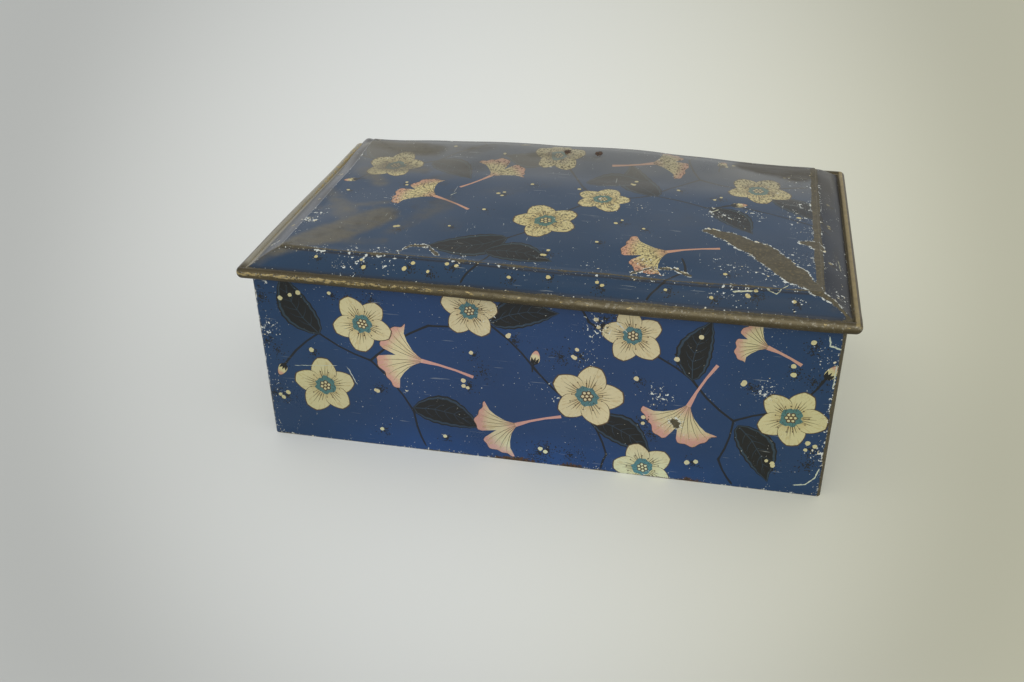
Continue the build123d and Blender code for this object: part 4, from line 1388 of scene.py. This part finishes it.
def edge_tin_and_painted_light(name, sizes, colours):
    """Tin of the rolled edge: rubbed bare, with brassy streaks and dark pits, painted highlights and glare
    on its upper side, and painted shade under it, at its top and outside the left roll.
    """
    edge = Finish(name)
    x, y, z = edge.split(edge.place)
    streak = edge.noise(0.9, detail=4, roughness=0.7, place=edge.stretched((0.3, 0.3, 1.0)))
    clouds = edge.noise(11, detail=3, roughness=0.55)
    fine = edge.noise(0.35, detail=3, roughness=0.7)
    low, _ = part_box("lid_shell")
    roll_middle = (low.z + sizes.roll_radius) / MM
    up = (z - roll_middle) / 2.0 + (streak - 0.5) * 0.3
    lit_crest = up.rise(-0.35, 0.1) * up.fall(0.4, 0.8)
    to_left = (x + clouds * 60.0).fall(-60.0, 40.0)
    edge.base = edge.mix(clouds.rise(0.35, 0.65) * 0.35, colours.edge, colours.tarnish_and_shade)
    # Painted highlight along the upper middle of the roll, more of it to the right.
    lit = clouds.rise(0.5, 0.62).most(x.rise(-10.0, 50.0) * (streak * 0.5 + 0.4))
    edge.coat(lit * lit_crest * 0.65, colours.painted_sheen)
    # Brassy tin on top of the right roll, partly a painted highlight.
    right_top_highlight = x.rise(110.0, 110.6) * x.fall(111.5, 111.9) * up.rise(0.3, 0.7)
    edge.coat(right_top_highlight * (streak * 0.8 + 0.12), colours.brass)
    # Painted shade on the outer side of the left roll.
    edge.coat(x.fall(-112.4, -110.8) * 0.85, colours.tarnish_and_shade)
    # Painted glare: the inner top of the left roll is pale, but for its front end.
    left_top_glare = x.rise(-111.8, -111.0) * x.fall(-109.0, -108.4) * up.rise(-0.9, -0.3)
    left_top_glare = left_top_glare * y.rise(-67.0, -60.0)
    edge.coat(left_top_glare * (clouds * 0.3 + 0.7), colours.plain)
    # Brassy streaks; those added on the crest towards the left are painted glints.
    brass_and_glints = streak + lit_crest * 0.05 + to_left * lit_crest * 0.16 + clouds * 0.1 - 0.02
    brass_and_glints = brass_and_glints.rise(0.69, 0.74)
    edge.coat(brass_and_glints * 0.85, colours.brass)
    # Painted shade under the roll.
    edge.coat(up.fall(-0.8, -0.2) * 0.5, colours.tarnish_and_shade)
    # Painted shade at the roll's top beside the valley, but for the right and left tops.
    edge.coat(up.rise(0.62, 0.95) * right_top_highlight.most(left_top_glare).less() * 0.35, colours.tarnish_and_shade)
    # Pale mottle towards the right, most on the crest, where it is a painted highlight.
    mottle_and_highlight = edge.noise(1.3, detail=4, roughness=0.75).rise(0.52, 0.66) * x.rise(-30.0, 40.0)
    edge.coat(mottle_and_highlight * (lit_crest + 0.15) * 0.6, colours.plain)
    # Pale flecks; the few more on the crest towards the left are painted glints.
    flecks = (fine + to_left * lit_crest * 0.08).rise(0.68, 0.72)
    edge.coat(flecks * 0.85, colours.chip)
    pits = fine.fall(0.33, 0.38)
    edge.coat(pits * 0.75, colours.tarnish_and_shade)
    edge.bump(fine * 0.5 + streak * 0.8, 0.035)
    return edge.close(fine * 0.2 + 0.3 - brass_and_glints * 0.06, 0.4)


def edge_paths(shape, sizes):
    """The lines of the rolled edge, seen from above, and whether each has a slot for a strap."""
    far_y = shape.roll_y
    corner = sizes.roll_corner / MM
    spacing = 2.2
    slots = []
    for middle in (-sizes.slot_spacing / 2, sizes.slot_spacing / 2):
        slots += [(middle - sizes.slot_width / 2) / MM, (middle + sizes.slot_width / 2) / MM]
    line = [complex(slots[0], far_y)]
    for sx, sy, facing in ((-1, 1, 90), (-1, -1, 180), (1, -1, 270), (1, 1, 0)):
        middle = complex(sx * (shape.roll_x - corner), sy * (far_y - corner))
        line += [middle + corner * direction(facing + turn) for turn in range(0, 91, 15)]
    line.append(complex(slots[3], far_y))
    paths = [(split(line, spacing), False)]
    for start, end, slotted in ((3, 2, True), (2, 1, False), (1, 0, True)):
        ends = [complex(slots[start], far_y), complex(slots[end], far_y)]
        paths.append((split(ends, spacing), slotted))
    return paths


class TINBOX_OT_rolled_edge(bpy.types.Operator):
    """Makes the hollow roll round the lid, open at the back where the hinge straps pass"""

    bl_idname = "tin_box.rolled_edge"
    bl_label = "Rolled Edge"

    def execute(self, context):
        sizes, colours = context.scene.tin_box_sizes, context.scene.tin_box_colours
        shape = LidShape(sizes)
        finish = edge_tin_and_painted_light("rubbed_edge", sizes, colours)
        values = {
            "Roll Radius": sizes.roll_radius, "Sheet": sizes.sheet,
            "First Angle": -sizes.valley_angle, "Dent Depth": sizes.roll_dent,
            "Dent Size": 6 * MM, "Seed": 3.0, "Finish": finish}
        tree = rolled_edge_tree()
        meshes = []
        for line, slotted in edge_paths(shape, sizes):
            reach = sizes.slot_end if slotted else sizes.roll_mouth
            values["Sweep"] = 2 * pi - (reach - sizes.valley_angle)
            values["Points Round"] = 26 if slotted else 38
            path = [(point.real * MM, point.imag * MM, shape.roll_z * MM) for point in line]
            meshes.append(swept_piece(tree, path, values))
        piece = join_meshes("lid_rolled_edge", meshes)
        points = np.empty(len(piece.data.vertices) * 3, np.float32)
        piece.data.vertices.foreach_get("co", points)
        points = shape.handled(points.reshape(-1, 3) / MM) * MM
        piece.data.vertices.foreach_set("co", points.astype(np.float32).ravel())
        piece.data.update()
        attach(piece, "lid")
        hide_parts("lid_shell")
        return {"FINISHED"}


def join_meshes(name, meshes):
    """One object of several meshes with one material, smooth but for its sharp edges."""
    points, faces = [], []
    for mesh in meshes:
        start = len(points)
        points += [vertex.co[:] for vertex in mesh.vertices]
        faces += [[start + corner for corner in face.vertices] for face in mesh.polygons]
    whole = bpy.data.meshes.new(name)
    whole.from_pydata(points, [], faces)
    whole.materials.append(meshes[0].materials[-1])
    for mesh in meshes:
        bpy.data.meshes.remove(mesh)
    whole.polygons.foreach_set("use_smooth", np.ones(len(faces), bool))
    whole.set_sharp_from_angle(angle=radians(40))
    return add_object(name, whole)


def wall_cuts(shape):
    """The outline of the unrolled walls, the lines along their bends and spots in between."""
    end, low, high = shape.stops[-1], shape.low, shape.high
    columns, rows, bend_rows = 240, 20, 24
    across = np.linspace(0, end, columns)
    outline = [complex(along, low) for along in across]
    outline += [complex(end, low + (high - low) * row / rows) for row in range(1, rows)]
    outline += [complex(along, high) for along in across[::-1]]
    outline += [complex(0, high - (high - low) * row / rows) for row in range(1, rows)]
    lines = []
    for number in (1, 3, 5, 7):
        for along in np.linspace(shape.stops[number], shape.stops[number + 1], 8):
            upright = [complex(along, low + (high - low) * row / bend_rows)
                       for row in range(bend_rows + 1)]
            lines.append(upright)
    for up in (0.16, 0.25, 0.35, shape.height - 0.35, shape.height - 0.25, shape.height - 0.15,
               shape.height - 0.05):
        lines.append([complex(end * column / columns, up) for column in range(columns + 1)])
    spots = [complex(column * 4.01 + 1.1 * (row % 2), row * 3.97)
             for column in range(1, 172) for row in range(1, 19)]
    return outline, lines, spots


class TINBOX_OT_wall_print(bpy.types.Operator):
    """Makes the ink and varnish on the outside of the four walls"""

    bl_idname = "tin_box.wall_print"
    bl_label = "Wall Print"

    def execute(self, context):
        colours = context.scene.tin_box_colours
        shape = WallShape(context.scene.tin_box_sizes)
        outline, lines, spots = wall_cuts(shape)
        ink = Print(colours, seed=23, dot_radius=0.95)
        ink.lay_out(WALL_PRINT, lambda wall, place, up: complex(shape.along(wall, place), up))

        mesh = SheetMesh()
        cut = cut_sheet(outline, lines, ink.shapes, spots)
        mesh.add(cut, shape.place, ink.shapes, tuple(colours.ground), wall_wear(shape))
        piece = mesh.make("wall_print", [printed_tin("printed_wall", colours)])
        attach(piece, "box")
        return {"FINISHED"}


class TINBOX_OT_plain_tin(bpy.types.Operator):
    """Finishes the unprinted tin: the walls inside the box and the bottom plate"""

    bl_idname = "tin_box.plain_tin"
    bl_label = "Plain Tin"

    def execute(self, context):
        colours = context.scene.tin_box_colours
        dress("body_wall", tarnished_metal("plain_tin", colours))
        dress("bottom_plate", tarnished_metal("bottom_tin", colours))
        return {"FINISHED"}


class TINBOX_OT_hinge(bpy.types.Operator):
    """Finishes the hinge wire, its two straps and their rivets"""

    bl_idname = "tin_box.hinge"
    bl_label = "Hinge"

    def execute(self, context):
        colours = context.scene.tin_box_colours
        dress("hinge_wire", tarnished_metal("hinge_wire_steel", colours))
        strap = tarnished_metal("strap_tin", colours)
        rivet = tarnished_metal("rivet_steel", colours)
        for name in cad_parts:
            if name.startswith("hinge_strap"):
                dress(name, strap)
            if name.startswith("hinge_rivet"):
                dress(name, rivet)
        return {"FINISHED"}


def dress(node, material):
    """Gives a frame node its material."""
    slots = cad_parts[node].material_slots
    if not slots:
        raise RuntimeError(f"{node} has no material slot")
    for slot in slots:
        slot.material = material


# Of the camera, in millimetres
SENSOR_WIDTH = 36


def pale_floor(name, tint, eye, right, up, ahead, lens):
    """Pale paper with a painted pool of light: darker towards the edges of the camera's view, warmer
    towards its right, and with a faint painted glow that only the camera sees.
    """
    paper = Finish(name, Roughness=0.9)
    x, y, _ = paper.split(paper.place)

    def along(axis):
        return x * axis.x + y * axis.y + -axis.dot(eye) / MM

    # Place in the camera's view, from -1 to 1 across it
    depth = along(ahead).most(60.0)
    widening = lens / (SENSOR_WIDTH / 2)
    across = along(right) / depth * widening
    off_y = along(up) / depth * widening - 0.05
    # Painted pool of light: darker towards the edges of the view.
    fade = (across * across * 0.47 + off_y * off_y * 0.36).less() * 1.125
    fade = fade.math("SMOOTH_MAX", 0.64, 0.2)
    within = abs(across).fall(0.9, 2.0) * abs(off_y).fall(0.62, 1.7) * depth.rise(60.0, 280.0)
    fade = fade * within + within.less() * 0.85
    warm = paper.mix(across.rise(-0.3, 1.3) * within, (0.99, 1.0, 0.985), (1.03, 1.0, 0.76))
    tone = paper.mix(1.0, tint, warm, "MULTIPLY")
    tone = paper.mix(1.0, tone, paper.grey(fade), "MULTIPLY")
    paper.feed("Base Color", tone)
    # Painted glow that only camera rays see, which lightens the floor and its shadows.
    paper.feed("Emission Color", tone)
    paper.feed("Emission Strength", paper.field("ShaderNodeLightPath") * 0.14)
    return paper.material


class TINBOX_OT_stage(bpy.types.Operator):
    """Sets the floor, the soft lamps, the world and the camera"""

    bl_idname = "tin_box.stage"
    bl_label = "Stage"

    def execute(self, context):
        scene = context.scene
        eye = Vector((65.95, -393.08, 257.53)) * MM
        right = Vector((0.9774, 0.2109, -0.0157)).normalized()
        ahead = Vector((-0.1887, 0.8359, -0.5155)).normalized()
        up = right.cross(ahead).normalized()
        right = ahead.cross(up)
        lens = 37.62

        reach, count = 4.0, 8
        step = 2 * reach / count
        rows = range(count)
        grid = [(i * step - reach, j * step - reach, 0) for j in range(count + 1) for i in range(count + 1)]
        firsts = [j * (count + 1) + i for j in rows for i in rows]
        tiles = [(first, first + 1, first + count + 2, first + count + 1) for first in firsts]
        sheet = bpy.data.meshes.new("floor")
        sheet.from_pydata(grid, [], tiles)
        tint = scene.tin_box_colours.floor
        sheet.materials.append(pale_floor("pale_floor", tint, eye, right, up, ahead, lens))
        floor = add_object("floor", sheet)

        world = bpy.data.worlds.new("studio")
        scene.world = world
        world.use_nodes = True
        background = world.node_tree.nodes["Background"]
        background.inputs["Color"].default_value = (0.97, 0.99, 1.0, 1)
        background.inputs["Strength"].default_value = 0.66

        for name, place, size, power, tint in (
                ("window", (-1.9, 2.4, 0.4), 1.2, 4.6, (0.96, 0.98, 1.0)),
                ("front", (0.1, -1.9, 1.4), 1.8, 11, (1.0, 0.99, 0.97)),
                ("side", (1.2, 2.4, 0.42), 1.2, 1.0, (1.0, 0.96, 0.88))):
            light = bpy.data.lights.new(name, "AREA")
            light.shape = "SQUARE"
            light.size = size
            light.energy = power
            light.color = tint
            lamp = add_object(name, light)
            lamp.location = place
            aim = Vector((0, 0, 0.04)) - Vector(place)
            lamp.rotation_euler = aim.to_track_quat("-Z", "Y").to_euler()

        data = bpy.data.cameras.new("camera")
        data.lens = lens
        data.sensor_width = SENSOR_WIDTH
        camera = add_object("camera", data)
        turned = Matrix((right, up, -ahead)).transposed().to_4x4()
        camera.matrix_world = Matrix.Translation(eye) @ turned
        scene.camera = camera
        scene.view_settings.view_transform = "Standard"
        return {"FINISHED"}


class TINBOX_PT_panel(bpy.types.Panel):
    """Lists the pieces of the tin box"""

    bl_idname = "TINBOX_PT_panel"
    bl_label = "Tin Box"
    bl_space_type = "VIEW_3D"
    bl_region_type = "UI"
    bl_category = "Tin Box"

    def draw(self, context):
        for piece in PIECES:
            self.layout.operator(piece.bl_idname)
        for title, group in (
                ("Sizes", context.scene.tin_box_sizes), ("Colours", context.scene.tin_box_colours)):
            box = self.layout.box()
            box.label(text=title)
            for name in group.__annotations__:
                box.prop(group, name)


PIECES = (
    TINBOX_OT_stage, TINBOX_OT_lid_sheet, TINBOX_OT_rolled_edge, TINBOX_OT_wall_print,
    TINBOX_OT_plain_tin, TINBOX_OT_hinge,
)
CLASSES = (TinBoxSizes, TinBoxColours) + PIECES + (TINBOX_PT_panel,)


def register():
    for kind in CLASSES:
        bpy.utils.register_class(kind)
    bpy.types.Scene.tin_box_sizes = PointerProperty(type=TinBoxSizes)
    bpy.types.Scene.tin_box_colours = PointerProperty(type=TinBoxColours)


def unregister():
    del bpy.types.Scene.tin_box_colours
    del bpy.types.Scene.tin_box_sizes
    for kind in reversed(CLASSES):
        bpy.utils.unregister_class(kind)


def main():
    register()
    bpy.ops.tin_box.stage()
    bpy.ops.tin_box.lid_sheet()
    bpy.ops.tin_box.rolled_edge()
    bpy.ops.tin_box.wall_print()
    bpy.ops.tin_box.plain_tin()
    bpy.ops.tin_box.hinge()


if __name__ == "__main__":
    main()
